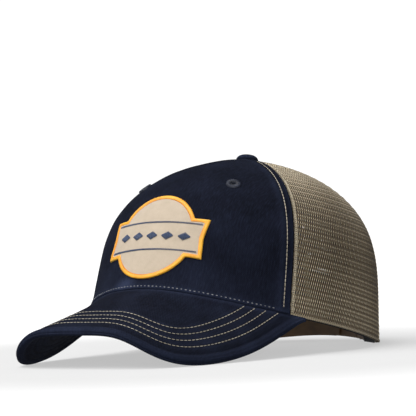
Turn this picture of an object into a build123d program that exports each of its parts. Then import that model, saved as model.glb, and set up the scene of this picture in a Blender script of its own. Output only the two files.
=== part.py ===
"""Trucker cap: twill front panel, four knitted mesh panels, curved visor and a two-part snap strap.

The cap is built in its own frame: X towards the wearer's left, -Y towards the visor, Z up the crown,
with the origin at the middle of the rim. A last step tips it back until it stands on the visor's
two low points and the back of the rim, with the middle of its footprint at the origin.
Lengths are millimetres. A turn round the crown is in degrees: 0 at the front, 90 at the wearer's
left, 180 at the back. A depth is measured inwards from the crown's outer face.
"""
import math
import os

from build123d import *

os.makedirs("parts", exist_ok=True)

# ---- crown: size and shape -----------------------------------------------------------------
CROWN_HALF_WIDTH = 86.8
CROWN_FRONT = 102.2
CROWN_BACK = 100.2
CROWN_HEIGHT = 102.4
CROWN_TOP_Y = 0.3
# Five places from the front to the back: how far the rim rises or dips.
RIM_RISE = (6.5, -0.9, -7.5, -7.3, 0.1)
# Three places, front, side and back: how upright the wall is low down, how round the top is,
# and how much the wall is pulled in between them.
WALL_UPRIGHT = (0.88, 0.487, 0.776)
TOP_ROUND = (1.168, 1.25, 0.931)
WALL_PULL = (-0.034, -0.019, -0.058)
FRONT_LEAN = -0.025
APEX_HOLE_RADIUS = 3.4

# ---- cloth layers --------------------------------------------------------------------------
TWILL = 1.0
BUCKRAM = 0.8
MESH = 1.3
HEM = 0.7
TAPE = 0.5
SWEATBAND = 1.4
LAYER_GAP = 0.12

# ---- panels, hems, tapes and sweatband --------------------------------------------------
FRONT_SEAM_TURN = 60.3
FRONT_SEAM_TURN_TOP = 64.0
SIDE_SEAM_TURN = 120.0
SEAM_GAP_TURN = 0.08
BUCKRAM_INSET_TURN = 7.0
BUCKRAM_TOP = 0.84
HEM_HEIGHT = 13.0
RIM_LIFT = 0.6
TAPE_WIDTH = 12.0
TAPE_TOP_RADIUS = 15.0
SWEATBAND_HEIGHT = 32.0

# ---- rear opening and its binding ----------------------------------------------------------
OPENING_HALF_WIDTH = 37.0
OPENING_STRAIGHT = 9.0
BINDING_WIDTH = 7.0
BINDING_THICKNESS = 0.7
BINDING_ROLL = 0.08

# ---- snap strap ----------------------------------------------------------------------------
STRAP_THICKNESS = 1.3
STRAP_WIDTH = 14.5
STRAP_LIFT = 1.0
STRAP_CORNER = 4.0
STRAP_LAYER_GAP = 0.3
HINGE_GAP = 0.9
HINGE_INSET = 1.5
TAB_LENGTH = 20.0
STRAP_TAB_SINK = 0.1
SNAP_PITCH = 8.74
FIRST_HOLE_OFFSET = 8.46
HOLE_COUNT = 7
PEG_COUNT = 7
FREE_HOLES = 2
HOLE_RADIUS = 2.4
PEG_RADIUS = 1.4
PEG_PROUD = 0.5
END_MARGIN = 5.6
STEP_TURN = 5.0

# ---- visor -----------------------------------------------------------------------------------
VISOR_HALF_WIDTH = 81.8
VISOR_REACH = 121.2
VISOR_BACK_Y = -41.5
VISOR_SQUARENESS = 4.4
VISOR_TAPER = 1.46
VISOR_ROOT_TURN = 67.9
# Heights of the outer edge, evenly spaced from its middle to its ends.
VISOR_EDGE_HEIGHT = (-24.5, -35.8, -37.4, -21.5, -5.2)
VISOR_CLOTH = 0.8
VISOR_BOARD = 1.8
VISOR_ROOT_GAP = 0.35
EDGE_FOLD = 2.0
FOLD_STEP = 0.2
BOARD_ROOT_INSET = 2.0
COVER_END_WIDTH = 5.0
BOARD_END_WIDTH = 11.0

# ---- button, eyelets and patch -----------------------------------------------------------
BUTTON_RADIUS = 7.0
BUTTON_HEIGHT = 4.3
BUTTON_SKIN = 0.6
BUTTON_PLATE = 0.6
RIVET_RADIUS = 1.5
WASHER_RADIUS = 5.6
WASHER_THICKNESS = 0.6
WASHER_SINK = 1.0
EYELET_TURN = 34.0
EYELET_HEIGHT = 74.5
EYELET_OUTER_RADIUS = 4.7
EYELET_INNER_RADIUS = 1.6
EYELET_BARREL_RADIUS = 2.5
EYELET_PROUD = 0.9
EYELET_CLEARANCE = 0.15
PATCH_HEIGHT = 33.7
PATCH_RADIUS = 28.3
BANNER_HALF_WIDTH = 34.6
BANNER_HALF_HEIGHT = 11.8
BANNER_FLARE = 1.2
PATCH_GROUND = 0.8
PATCH_BORDER = 1.3
PATCH_BORDER_WIDTH = 2.6
MOTIF_THICKNESS = 0.5
MOTIF_DIAMOND = 5.2
MOTIF_PITCH = 11.0

LEFT = 1
RIGHT = -1


# ---- crown surface -------------------------------------------------------------------------
def around(turn, stations):
    """A smooth value round the crown through stations spaced evenly from front to back."""
    last = len(stations) - 1
    total = 0.0
    for k in range(last + 1):
        share = 0.0
        for j, value in enumerate(stations):
            end = 0.5 if j in (0, last) else 1.0
            share += end * value * math.cos(math.pi * k * j / last)
        half = 1.0 if k in (0, last) else 2.0
        total += half / last * share * math.cos(k * math.radians(turn))
    return total


def rim_point(turn):
    angle = math.radians(turn)
    reach = CROWN_FRONT if math.cos(angle) > 0 else CROWN_BACK
    return Vector(CROWN_HALF_WIDTH * math.sin(angle), -reach * math.cos(angle), around(turn, RIM_RISE))


def skin_point(turn, rise):
    """A point on the crown's outer face: rise runs from 0 at the rim to 1 at the top."""
    upright = around(turn, WALL_UPRIGHT)
    arc = math.pi / 2 * rise ** (1 / upright)
    up = math.sin(arc) ** upright
    spread = max(math.cos(arc), 1e-9) ** around(turn, TOP_ROUND)
    spread += around(turn, WALL_PULL) * math.sin(math.pi * up) * (1 - up)
    front = max(math.cos(math.radians(turn)), 0.0) ** 2
    spread += FRONT_LEAN * front * math.sin(2 * math.pi * up)
    rim = rim_point(turn)
    return Vector(
        rim.X * spread,
        CROWN_TOP_Y + (rim.Y - CROWN_TOP_Y) * spread,
        rim.Z + (CROWN_HEIGHT - rim.Z) * up,
    )


def skin_normal(turn, rise):
    low = max(rise - 0.004, 0.0)
    along = skin_point(turn, rise + 0.004) - skin_point(turn, low)
    across = skin_point(turn + 0.4, rise) - skin_point(turn - 0.4, rise)
    return across.cross(along).normalized()


def crown_point(turn, rise, depth=0.0):
    return skin_point(turn, rise) - skin_normal(turn, rise) * depth


def rise_at(turn, height):
    """The rise at a height above the rim, in millimetres."""
    upright = around(turn, WALL_UPRIGHT)
    up = height / (CROWN_HEIGHT - around(turn, RIM_RISE))
    arc = math.asin(up ** (1 / upright))
    return (2 * arc / math.pi) ** upright


def spread_at(turn, rise):
    point = skin_point(turn, rise)
    return math.hypot(point.X, point.Y - CROWN_TOP_Y)


def rise_at_radius(turn, radius):
    """The rise where the crown has closed in to a radius about its top."""
    low = 0.3
    high = 1.0
    for _ in range(40):
        middle = (low + high) / 2
        if spread_at(turn, middle) > radius:
            low = middle
        else:
            high = middle
    return low


def front_seam(rise):
    return FRONT_SEAM_TURN + (FRONT_SEAM_TURN_TOP - FRONT_SEAM_TURN) * rise


def smooth_step(value, start, end):
    share = min(max((value - start) / (end - start), 0.0), 1.0)
    return share * share * (3 - 2 * share)


def spaced(start, end, count):
    return [start + (end - start) * i / (count - 1) for i in range(count)]


# ---- solids from grids ---------------------------------------------------------------------
def slab(outer, inner):
    """A closed solid between two grids of points that match row for row."""
    faces = []
    for grid in (outer, inner):
        faces.append(Face.make_surface_from_array_of_points(grid, tol=0.002, min_deg=3, max_deg=5))
    inner_edges = list(faces[1].edges())
    sides = []
    for edge in faces[0].edges():
        middle = edge @ 0.5
        partner = min(inner_edges, key=lambda other: (other @ 0.5 - middle).length)
        sides.append(Face.make_surface_from_curves(edge, partner))
    solid = Solid(Shell(faces + sides))
    if solid.volume < 0:
        solid = Solid(solid.wrapped.Reversed())
    return solid


def crown_slab(turn_range, rise_range, outer_depth, inner_depth, columns=15, rows=17):
    """A piece of the crown's wall.

    turn_range(rise) gives its two sides, rise_range(turn) its two ends, and each depth is a
    function of turn and height above the rim.
    """
    outer = []
    inner = []
    for i in range(columns):
        outer_row = []
        inner_row = []
        for j in range(rows):
            across = i / (columns - 1)
            up = j / (rows - 1)
            first, last = turn_range(up)
            turn = first + (last - first) * across
            low, high = rise_range(turn)
            rise = low + (high - low) * up
            first, last = turn_range(rise)
            turn = first + (last - first) * across
            height = skin_point(turn, rise).Z - around(turn, RIM_RISE)
            outer_row.append(crown_point(turn, rise, outer_depth(turn, height)))
            inner_row.append(crown_point(turn, rise, inner_depth(turn, height)))
        outer.append(outer_row)
        inner.append(inner_row)
    return slab(outer, inner)


def constant(value):
    return lambda turn, height: value


def mirrored(solid):
    return solid.mirror(Plane.YZ)


# ---- rear opening ---------------------------------------------------------------------------
def arch_point(along, outset):
    """X and Z on the opening's outline: along runs from 0 at its left foot to 1 at its right."""
    radius = OPENING_HALF_WIDTH
    leg = OPENING_STRAIGHT - back_rim_height()
    length = 2 * leg + math.pi * radius
    place = along * length
    spring = OPENING_STRAIGHT
    if place < leg:
        return radius + outset, back_rim_height() + place
    if place > length - leg:
        return -radius - outset, back_rim_height() + length - place
    angle = (place - leg) / radius
    return (radius + outset) * math.cos(angle), spring + (radius + outset) * math.sin(angle)


def back_turn_at(x):
    return 180 - math.degrees(math.asin(x / CROWN_HALF_WIDTH))


def back_rim_height():
    return around(back_turn_at(OPENING_HALF_WIDTH), RIM_RISE) + RIM_LIFT


def back_point(x, z, depth):
    """The point of the crown's back wall at a place seen square from behind."""
    turn = back_turn_at(x)
    rise = 0.3
    for _ in range(30):
        rim = around(turn, RIM_RISE)
        rise = rise_at(turn, max(z - rim, 0.01))
        spread = skin_point(turn, rise).X / (CROWN_HALF_WIDTH * math.sin(math.radians(turn)) + 1e-12)
        turn = back_turn_at(x / spread) if abs(x) > 1e-6 else 180.0
    return crown_point(turn, rise, depth)


def opening_cutter():
    radius = OPENING_HALF_WIDTH
    far = CROWN_BACK * 1.4
    floor = -CROWN_HEIGHT / 2
    round_top = Cylinder(radius, far, align=(Align.CENTER, Align.CENTER, Align.MIN))
    round_top = round_top.rotate(Axis.X, -90).moved(Location((0, 0, OPENING_STRAIGHT)))
    legs = Box(2 * radius, far, OPENING_STRAIGHT - floor, align=(Align.CENTER, Align.MIN, Align.MAX))
    return (round_top + legs.moved(Location((0, 0, OPENING_STRAIGHT)))).solid()


# ---- crown pieces ---------------------------------------------------------------------------
def to_apex(turn):
    return 0.0, rise_at_radius(turn, APEX_HOLE_RADIUS)


def surface_frame(turn, height):
    """A plane on the crown's outer face, with Z outwards."""
    rise = rise_at(turn, height)
    return Plane(origin=skin_point(turn, rise), z_dir=skin_normal(turn, rise))


def eyelet_plane(side):
    return surface_frame(side * EYELET_TURN, EYELET_HEIGHT)


def eyelet_cutter(side, radius):
    return eyelet_plane(side) * Cylinder(radius, 12)


def front_panel():
    def sides(rise):
        edge = front_seam(rise) - SEAM_GAP_TURN
        return -edge, edge

    panel = crown_slab(sides, to_apex, constant(0.0), constant(TWILL), columns=33, rows=21)
    for side in (LEFT, RIGHT):
        panel = panel - eyelet_cutter(side, EYELET_BARREL_RADIUS + EYELET_CLEARANCE)
    return panel.solid()


def front_buckram():
    def sides(rise):
        edge = front_seam(rise) - BUCKRAM_INSET_TURN
        return -edge, edge

    def ends(turn):
        return rise_at(turn, RIM_LIFT), BUCKRAM_TOP

    outer = TWILL + LAYER_GAP
    piece = crown_slab(sides, ends, constant(outer), constant(outer + BUCKRAM), columns=25)
    for side in (LEFT, RIGHT):
        piece = piece - eyelet_cutter(side, EYELET_BARREL_RADIUS + 2 * EYELET_CLEARANCE)
    return piece.solid()


def side_mesh():
    def sides(rise):
        return front_seam(rise) + SEAM_GAP_TURN, SIDE_SEAM_TURN - SEAM_GAP_TURN

    return crown_slab(sides, to_apex, constant(0.0), constant(MESH), columns=25, rows=33)


def back_mesh():
    def sides(rise):
        return SIDE_SEAM_TURN + SEAM_GAP_TURN, 180 - SEAM_GAP_TURN

    whole = crown_slab(sides, to_apex, constant(0.0), constant(MESH), columns=25, rows=33)
    return (whole - opening_cutter()).solid()


def hem_end_turn():
    return back_turn_at(OPENING_HALF_WIDTH + BINDING_WIDTH + 1.0)


def hem_depth():
    return MESH + LAYER_GAP


def rim_hem():
    start = FRONT_SEAM_TURN + SEAM_GAP_TURN + 1.0

    def ends(turn):
        return rise_at(turn, RIM_LIFT), rise_at(turn, HEM_HEIGHT)

    outer = hem_depth()
    return crown_slab(
        lambda rise: (start, hem_end_turn()), ends, constant(outer), constant(outer + HEM), columns=29, rows=9
    )


def seam_tape(seam, layer):
    """A tape inside a seam: it lies on the wall, and steps over the hem low down."""
    over_hem = hem_depth() + HEM + LAYER_GAP

    def sides(rise):
        middle = seam(rise)
        half = math.degrees(TAPE_WIDTH / 2 / spread_at(middle, rise))
        return middle - half, middle + half

    def ends(turn):
        return rise_at(turn, RIM_LIFT), rise_at_radius(turn, TAPE_TOP_RADIUS)

    def outer(turn, height):
        return over_hem + (layer - over_hem) * smooth_step(height, HEM_HEIGHT + 1, HEM_HEIGHT + 11)

    def inner(turn, height):
        return outer(turn, height) + TAPE

    return crown_slab(sides, ends, outer, inner, columns=5, rows=33)


def back_tape():
    """The tape inside the back seam, from just above the rear opening's binding."""
    foot = OPENING_STRAIGHT + OPENING_HALF_WIDTH + BINDING_WIDTH + 1.0
    layer = MESH + LAYER_GAP

    def sides(rise):
        half = math.degrees(TAPE_WIDTH / 2 / spread_at(180, rise))
        return 180 - half, 180 + half

    def ends(turn):
        return rise_at(turn, foot), rise_at_radius(turn, TAPE_TOP_RADIUS)

    return crown_slab(sides, ends, constant(layer), constant(layer + TAPE), columns=5, rows=15)


def band_depth(turn, height=0.0):
    """The sweatband's outer depth: it lies on the tapes, and on the strap tabs at the back."""
    plain = hem_depth() + HEM + TAPE + 2 * LAYER_GAP
    over_tab = tab_depth() + STRAP_THICKNESS + LAYER_GAP
    start = tab_start_turn()
    return plain + (over_tab - plain) * smooth_step(abs(turn), start - 12, start - 1)


def sweatband():
    end = hem_end_turn() - 1.0

    def ends(turn):
        return rise_at(turn, RIM_LIFT + 0.6), rise_at(turn, SWEATBAND_HEIGHT)

    def inner(turn, height):
        return band_depth(turn) + SWEATBAND

    return crown_slab(lambda rise: (-end, end), ends, band_depth, inner, columns=121, rows=11)


def arch_slab(outset_range, depth_range):
    """A stretch of the arch's edge between two outsets and two depths."""
    grids = []
    for depth in depth_range:
        grid = []
        for along in spaced(0.0, 1.0, 41):
            places = [arch_point(along, outset) for outset in spaced(*outset_range, 4)]
            grid.append([back_point(x, z, depth) for x, z in places])
        grids.append(grid)
    return slab(*grids)


def arch_binding():
    """A tape folded over the opening's edge: two legs joined by a fold."""
    gap = LAYER_GAP
    thick = BINDING_THICKNESS
    lap = thick / 2
    outside = arch_slab((-gap - lap, BINDING_WIDTH), (-gap - thick, -gap))
    inside = arch_slab((-gap - lap, BINDING_WIDTH), (MESH + gap, MESH + gap + thick))
    fold = arch_slab((-gap - thick, -gap), (-gap - thick - BINDING_ROLL, MESH + gap + thick + BINDING_ROLL))
    return (fold + outside + inside).solid()


# ---- snap strap ----------------------------------------------------------------------------
def tab_depth():
    return hem_depth() + BINDING_THICKNESS + STRAP_TAB_SINK


def hinge_turn():
    return back_turn_at(OPENING_HALF_WIDTH - HINGE_INSET)


def turn_for(length):
    """The turn that a length along the strap spans at the back of the crown."""
    return math.degrees(length / CROWN_BACK)


def tab_start_turn():
    return hinge_turn() - turn_for(TAB_LENGTH)


def strap_point(turn, height, depth):
    return crown_point(turn, rise_at(turn, height), depth)


def strap_slab(first, last, outer_depth, columns=25):
    """A stretch of strap between two turns, following the rim and the lean of the wall."""
    heights = spaced(STRAP_LIFT, STRAP_LIFT + STRAP_WIDTH, 5)
    outer = []
    inner = []
    for turn in spaced(first, last, columns):
        depth = outer_depth(turn)
        outer.append([strap_point(turn, height, depth) for height in heights])
        inner.append([strap_point(turn, height, depth + STRAP_THICKNESS) for height in heights])
    return slab(outer, inner)


def strap_place(turn, depth):
    """A plane on the strap's middle line, with Z outwards."""
    rise = rise_at(turn, STRAP_LIFT + STRAP_WIDTH / 2)
    return Plane(origin=crown_point(turn, rise, depth), z_dir=skin_normal(turn, rise))


def hinge_line():
    """The two ends of the line that the left strap bends about, at its foot and its top."""
    depth = tab_depth() + STRAP_THICKNESS / 2
    return [strap_point(hinge_turn(), height, depth) for height in (STRAP_LIFT, STRAP_LIFT + STRAP_WIDTH)]


def snap_turn(place):
    """The turn of a snap place, counted from the hole nearest the left hinge."""
    return hinge_turn() + turn_for(FIRST_HOLE_OFFSET + place * SNAP_PITCH)


def hole_turns():
    return [snap_turn(place) for place in range(HOLE_COUNT)]


def peg_turns():
    return [snap_turn(FREE_HOLES + place) for place in range(PEG_COUNT)]


def half_hinge():
    return turn_for(HINGE_GAP / 2)


def rounded_end(strap, turn):
    """The strap with the two corners of its free end rounded."""
    end = strap_place(turn, 0).origin
    short = [edge for edge in strap.edges() if edge.length < 1.5 * STRAP_THICKNESS]
    corners = sorted(short, key=lambda edge: math.hypot(edge.center().X - end.X, edge.center().Y - end.Y))[:2]
    return strap.fillet(STRAP_CORNER, corners)


def hole_strap():
    """The outer strap, rooted at the wearer's left."""
    last = hole_turns()[-1] + turn_for(END_MARGIN)
    strap = strap_slab(hinge_turn() + half_hinge(), last, lambda turn: tab_depth())
    strap = rounded_end(strap, last)
    for turn in hole_turns():
        strap = strap - strap_place(turn, tab_depth()) * Cylinder(HOLE_RADIUS, 6 * STRAP_THICKNESS)
    return strap.solid()


def peg_strap():
    """The inner strap, rooted at the wearer's right, with its pegs outwards."""
    lower = tab_depth() + STRAP_THICKNESS + STRAP_LAYER_GAP
    root = 360 - hinge_turn() - half_hinge()
    last = peg_turns()[0] - turn_for(END_MARGIN)

    def depth(turn):
        return lower + (tab_depth() - lower) * smooth_step(turn, root - STEP_TURN, root - 0.5)

    strap = strap_slab(last, root, depth, columns=41)
    strap = rounded_end(strap, last)
    peg_length = STRAP_THICKNESS / 2 + STRAP_LAYER_GAP + STRAP_THICKNESS + PEG_PROUD
    for turn in peg_turns():
        plane = strap_place(turn, lower + STRAP_THICKNESS / 2)
        peg = Cylinder(PEG_RADIUS, peg_length, align=(Align.CENTER, Align.CENTER, Align.MIN))
        strap = strap + plane * chamfer(peg.edges().sort_by(Axis.Z)[-1], PEG_PROUD / 2)
    return strap.solid()


def strap_tab():
    """The sewn-in end of a strap, between the binding and the sweatband."""
    return strap_slab(tab_start_turn(), hinge_turn() - half_hinge(), lambda turn: tab_depth(), columns=9)


# ---- visor -----------------------------------------------------------------------------------
def visor_stack():
    """Depths below the visor's top face: bottom of the top cover, board and under cover."""
    top = VISOR_CLOTH
    board_top = top + LAYER_GAP
    board_bottom = board_top + VISOR_BOARD
    under_top = board_bottom + LAYER_GAP
    return top, board_top, board_bottom, under_top, under_top + VISOR_CLOTH


def visor_skin(swing, out):
    """A point on the visor's top face: swing is -90 to 90 degrees, out 0 at the root to 1."""
    sine = math.sin(math.radians(swing))
    arc = math.copysign(math.asin(abs(sine) ** (VISOR_SQUARENESS / 2)), sine)
    turn = math.degrees(arc) * VISOR_ROOT_TURN / 90
    root = crown_point(turn, 0.0, -VISOR_ROOT_GAP)
    edge = Vector(
        VISOR_HALF_WIDTH * sine,
        VISOR_BACK_Y - VISOR_REACH * math.cos(arc) ** (2 / VISOR_TAPER),
        around(2 * math.degrees(arc), VISOR_EDGE_HEIGHT),
    )
    return root + (edge - root) * out


def visor_width(swing):
    return (visor_skin(swing, 1) - visor_skin(swing, 0)).length


def visor_point(swing, out, depth):
    across = visor_skin(swing + 0.3, out) - visor_skin(swing - 0.3, out)
    outward = visor_skin(swing, 1) - visor_skin(swing, 0)
    down = across.cross(outward).normalized()
    if down.Z > 0:
        down = down * -1
    return visor_skin(swing, out) + down * depth


def swing_at_width(width):
    """The swing beyond which the visor is narrower than a width."""
    low = 45.0
    high = 89.0
    for _ in range(40):
        middle = (low + high) / 2
        if visor_width(middle) > width:
            low = middle
        else:
            high = middle
    return low


def visor_slab(end_width, out_range, depth_range):
    """A layer of the visor: out_range(width) gives its root and outer edge as shares of the width."""
    end = swing_at_width(end_width)
    grids = []
    for depth in depth_range:
        grid = []
        for swing in spaced(-end, end, 41):
            first, last = out_range(visor_width(swing))
            grid.append([visor_point(swing, out, depth) for out in spaced(first, last, 5)])
        grids.append(grid)
    return slab(*grids)


def visor_top_cover():
    return visor_slab(COVER_END_WIDTH, lambda width: (0, 1), (0, visor_stack()[0]))


def visor_board():
    def out_range(width):
        return BOARD_ROOT_INSET / width, 1 - (EDGE_FOLD + LAYER_GAP) / width

    return visor_slab(BOARD_END_WIDTH, out_range, visor_stack()[1:3])


def visor_under_cover():
    """The under cover, with the turned-in edge that closes the visor round the board."""
    top, board_top, board_bottom, under_top, bottom = visor_stack()
    cover = visor_slab(COVER_END_WIDTH, lambda width: (0, 1), (under_top, bottom))

    def out_range(width):
        return 1 - EDGE_FOLD / width, 1 - FOLD_STEP / width

    fold = visor_slab(COVER_END_WIDTH + FOLD_STEP, out_range, (board_top, (under_top + bottom) / 2))
    return (cover + fold).solid()


# ---- button and eyelets ---------------------------------------------------------------------
def revolved(profile):
    """A solid of revolution about Z from corners given as radius and height."""
    face = Face(Wire.make_polygon([Vector(radius, 0, height) for radius, height in profile], close=True))
    return Solid.revolve(face, 360, Axis.Z)


def at_apex(solid):
    return solid.moved(Location((0, CROWN_TOP_Y, CROWN_HEIGHT)))


def dome(radius, height, steps=9):
    """Corners of a low dome from its rim up to its middle."""
    corners = []
    for angle in spaced(0, 90, steps):
        across = radius * math.cos(math.radians(angle)) ** 0.8
        corners.append((across, height * math.sin(math.radians(angle)) ** 0.8))
    corners[-1] = (0.0, height)
    return corners


def button_shell():
    floor = LAYER_GAP
    outer = [(radius, floor + height) for radius, height in dome(BUTTON_RADIUS, BUTTON_HEIGHT - floor)]
    inner_radius = BUTTON_RADIUS - BUTTON_SKIN
    inner_height = BUTTON_HEIGHT - floor - BUTTON_SKIN
    inner = [(radius, floor + height) for radius, height in dome(inner_radius, inner_height)]
    return at_apex(revolved(outer + inner[::-1]))


def button_plate():
    low = LAYER_GAP
    radius = BUTTON_RADIUS - BUTTON_SKIN - LAYER_GAP - 0.4
    bore = RIVET_RADIUS + 0.05
    profile = [(bore, low), (radius, low), (radius, low + BUTTON_PLATE), (bore, low + BUTTON_PLATE)]
    return at_apex(revolved(profile))


def washer_top():
    return -MESH - WASHER_SINK


def button_rivet():
    """The rivet that holds the button: it is headed over the plate and under the washer."""
    top = LAYER_GAP + BUTTON_PLATE
    low = washer_top() - WASHER_THICKNESS
    head = RIVET_RADIUS * 2
    profile = [
        (0, low - 0.85),
        (head, low - 0.85),
        (head, low - 0.05),
        (RIVET_RADIUS, low - 0.05),
        (RIVET_RADIUS, top + 0.05),
        (head, top + 0.05),
        (head, top + 0.85),
        (0, top + 0.85),
    ]
    return at_apex(revolved(profile))


def button_washer():
    top = washer_top()
    low = top - WASHER_THICKNESS
    bore = RIVET_RADIUS + 0.05
    profile = [(bore, low), (WASHER_RADIUS, low), (WASHER_RADIUS, top), (bore, top)]
    return at_apex(revolved(profile))


def eyelet(side):
    """A worked eyelet: a ring on the panel and a barrel through it."""
    low = EYELET_CLEARANCE
    back = -TWILL - BUCKRAM - LAYER_GAP
    profile = [
        (EYELET_INNER_RADIUS, back),
        (EYELET_BARREL_RADIUS, back),
        (EYELET_BARREL_RADIUS, low),
        (EYELET_OUTER_RADIUS, low),
        (EYELET_OUTER_RADIUS - 0.4, low + 0.6 * EYELET_PROUD),
        (EYELET_BARREL_RADIUS + 0.4, low + EYELET_PROUD),
        (EYELET_INNER_RADIUS, low + 0.5 * EYELET_PROUD),
    ]
    return eyelet_plane(side) * revolved(profile)


# ---- patch -----------------------------------------------------------------------------------
def patch_plane():
    """The plane that the patch faces along: X to the wearer's left, Z outwards."""
    frame = surface_frame(0, PATCH_HEIGHT)
    return Plane(origin=frame.origin, x_dir=(1, 0, 0), z_dir=frame.z_dir)


def badge_face(inset):
    """A disc with a banner across it whose corners flare a little."""
    disc = Circle(PATCH_RADIUS - inset)
    wide = BANNER_HALF_WIDTH - inset
    high = BANNER_HALF_HEIGHT - inset
    waist = wide - BANNER_FLARE
    right = [(0, -high), (wide, -high - BANNER_FLARE), (waist, 0), (wide, high + BANNER_FLARE), (0, high)]
    left = [(-x, y) for x, y in reversed(right[1:-1])]
    return disc + make_face(Polyline(*right, *left, close=True))


def patch_layer(low, thickness):
    """The crown's skin in front of the badge, from low to low + thickness proud of the cloth."""
    reach = BANNER_HALF_WIDTH + 6
    edge = math.degrees(math.asin(reach / CROWN_HALF_WIDTH)) + 4

    def ends(turn):
        middle = PATCH_HEIGHT
        base = max(middle - PATCH_RADIUS - 6, 0.2)
        return rise_at(turn, base), rise_at(turn, middle + PATCH_RADIUS + 6)

    return crown_slab(
        lambda rise: (-edge, edge), ends, constant(-low - thickness), constant(-low), columns=21, rows=13
    )


def on_badge(face, layer):
    prism = extrude(patch_plane() * face, amount=30, both=True)
    return layer & prism


def patch_ground():
    layer = patch_layer(LAYER_GAP, PATCH_GROUND)
    return on_badge(badge_face(PATCH_BORDER_WIDTH + LAYER_GAP / 2), layer).solid()


def patch_border():
    layer = patch_layer(LAYER_GAP, PATCH_BORDER)
    ring = badge_face(0) - badge_face(PATCH_BORDER_WIDTH)
    return on_badge(ring, layer).solid()


def patch_motif():
    """Plain stitched diamonds along the banner."""
    layer = patch_layer(2 * LAYER_GAP + PATCH_GROUND, MOTIF_THICKNESS)
    half = MOTIF_DIAMOND / 2
    solids = []
    for i in range(-2, 3):
        middle = i * MOTIF_PITCH
        corners = ((middle - half, 0), (middle, -half), (middle + half, 0), (middle, half))
        solids.append(on_badge(make_face(Polyline(*corners, close=True)), layer).solid())
    return Compound(children=solids)


# ---- standing and writing --------------------------------------------------------------------
def stand_tilt():
    """How far the cap tips back to stand on the visor's low places and the back of the rim."""
    end = swing_at_width(COVER_END_WIDTH)
    bottom = visor_stack()[-1]
    front = [visor_point(swing, 1, bottom) for swing in spaced(0, end, 60)]
    back = [rim_point(turn) for turn in spaced(100, 180, 41)]
    low = 0.0
    high = 30.0
    for _ in range(50):
        tilt = (low + high) / 2
        sine = math.sin(math.radians(tilt))
        cosine = math.cos(math.radians(tilt))
        front_low = min(point.Z * cosine - point.Y * sine for point in front)
        back_low = min(point.Z * cosine - point.Y * sine for point in back)
        if front_low < back_low:
            low = tilt
        else:
            high = tilt
    return tilt


def write(name, solid, stand):
    placed = solid.moved(stand)
    export_step(placed, f"parts/{name}.step")


def main():
    pieces = {
        "front_panel": front_panel(),
        "front_buckram": front_buckram(),
        "side_mesh_left": side_mesh(),
        "back_mesh_left": back_mesh(),
        "rim_hem_left": rim_hem(),
        "seam_tape_front_left": seam_tape(front_seam, TWILL + BUCKRAM + 2 * LAYER_GAP),
        "seam_tape_side_left": seam_tape(lambda rise: SIDE_SEAM_TURN, MESH + LAYER_GAP),
    }
    for name in [name for name in pieces if name.endswith("_left")]:
        pieces[name.replace("_left", "_right")] = mirrored(pieces[name])
    pieces["seam_tape_back"] = back_tape()
    pieces["sweatband"] = sweatband()
    pieces["arch_binding"] = arch_binding()
    pieces["hole_strap"] = hole_strap()
    pieces["peg_strap"] = peg_strap()
    pieces["hole_strap_tab"] = strap_tab()
    pieces["peg_strap_tab"] = mirrored(strap_tab())
    pieces["visor_top_cover"] = visor_top_cover()
    pieces["visor_board"] = visor_board()
    pieces["visor_under_cover"] = visor_under_cover()
    pieces["button_shell"] = button_shell()
    pieces["button_plate"] = button_plate()
    pieces["button_rivet"] = button_rivet()
    pieces["button_washer"] = button_washer()
    pieces["eyelet_left"] = eyelet(LEFT)
    pieces["eyelet_right"] = eyelet(RIGHT)
    pieces["patch_ground"] = patch_ground()
    pieces["patch_border"] = patch_border()
    pieces["patch_motif"] = patch_motif()

    tilt = stand_tilt()
    tipped = Location((0, 0, 0), (-tilt, 0, 0))
    boxes = [solid.moved(tipped).bounding_box() for solid in pieces.values()]
    low_z = min(box.min.Z for box in boxes)
    middle_y = (min(box.min.Y for box in boxes) + max(box.max.Y for box in boxes)) / 2
    stand = Location((0, -middle_y, -low_z)) * tipped
    for name, solid in pieces.items():
        write(name, solid, stand)
    foot, top = [(stand * Location(point)).position for point in hinge_line()]
    pivot = (foot + top) / 2
    axis = (top - foot).normalized()
    print(f"tilt {tilt:.4f} shift y {-middle_y:.4f} z {-low_z:.4f}")
    print(f"left strap hinge at {pivot.X:.4f} {pivot.Y:.4f} {pivot.Z:.4f}")
    print(f"left strap hinge axis {axis.X:.5f} {axis.Y:.5f} {axis.Z:.5f}")


main()
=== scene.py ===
"""Trucker cap: the looks of a washed twill and knitted mesh cap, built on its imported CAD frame.

Shapes are worked out in the cap's own frame, in millimetres: X to the wearer's left, -Y towards
the visor, Z up the crown from the middle of the rim. stand() then tips each point onto the floor.
A turn round the crown is in degrees, 0 at the front, 90 at the wearer's left and 180 at the back.
"""

import math

import bmesh
import bpy
import numpy as np
from bpy.props import FloatProperty, FloatVectorProperty, PointerProperty
from mathutils import Matrix, Vector, noise


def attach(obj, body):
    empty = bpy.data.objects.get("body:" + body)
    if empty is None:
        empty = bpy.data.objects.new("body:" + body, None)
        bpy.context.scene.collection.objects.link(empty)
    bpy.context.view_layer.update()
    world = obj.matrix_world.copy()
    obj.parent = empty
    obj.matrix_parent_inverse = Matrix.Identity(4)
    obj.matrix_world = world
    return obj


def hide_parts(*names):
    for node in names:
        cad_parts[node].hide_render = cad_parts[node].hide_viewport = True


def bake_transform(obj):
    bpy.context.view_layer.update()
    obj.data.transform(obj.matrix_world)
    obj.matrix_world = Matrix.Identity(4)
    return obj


bl_info = {
    "name": "Trucker Cap",
    "version": (1, 0, 0),
    "blender": (4, 5, 0),
    "location": "3D Viewport > Sidebar > Cap",
    "description": "Builds a twill and mesh cap with a curved visor and a snap strap",
    "category": "Object",
}

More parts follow.
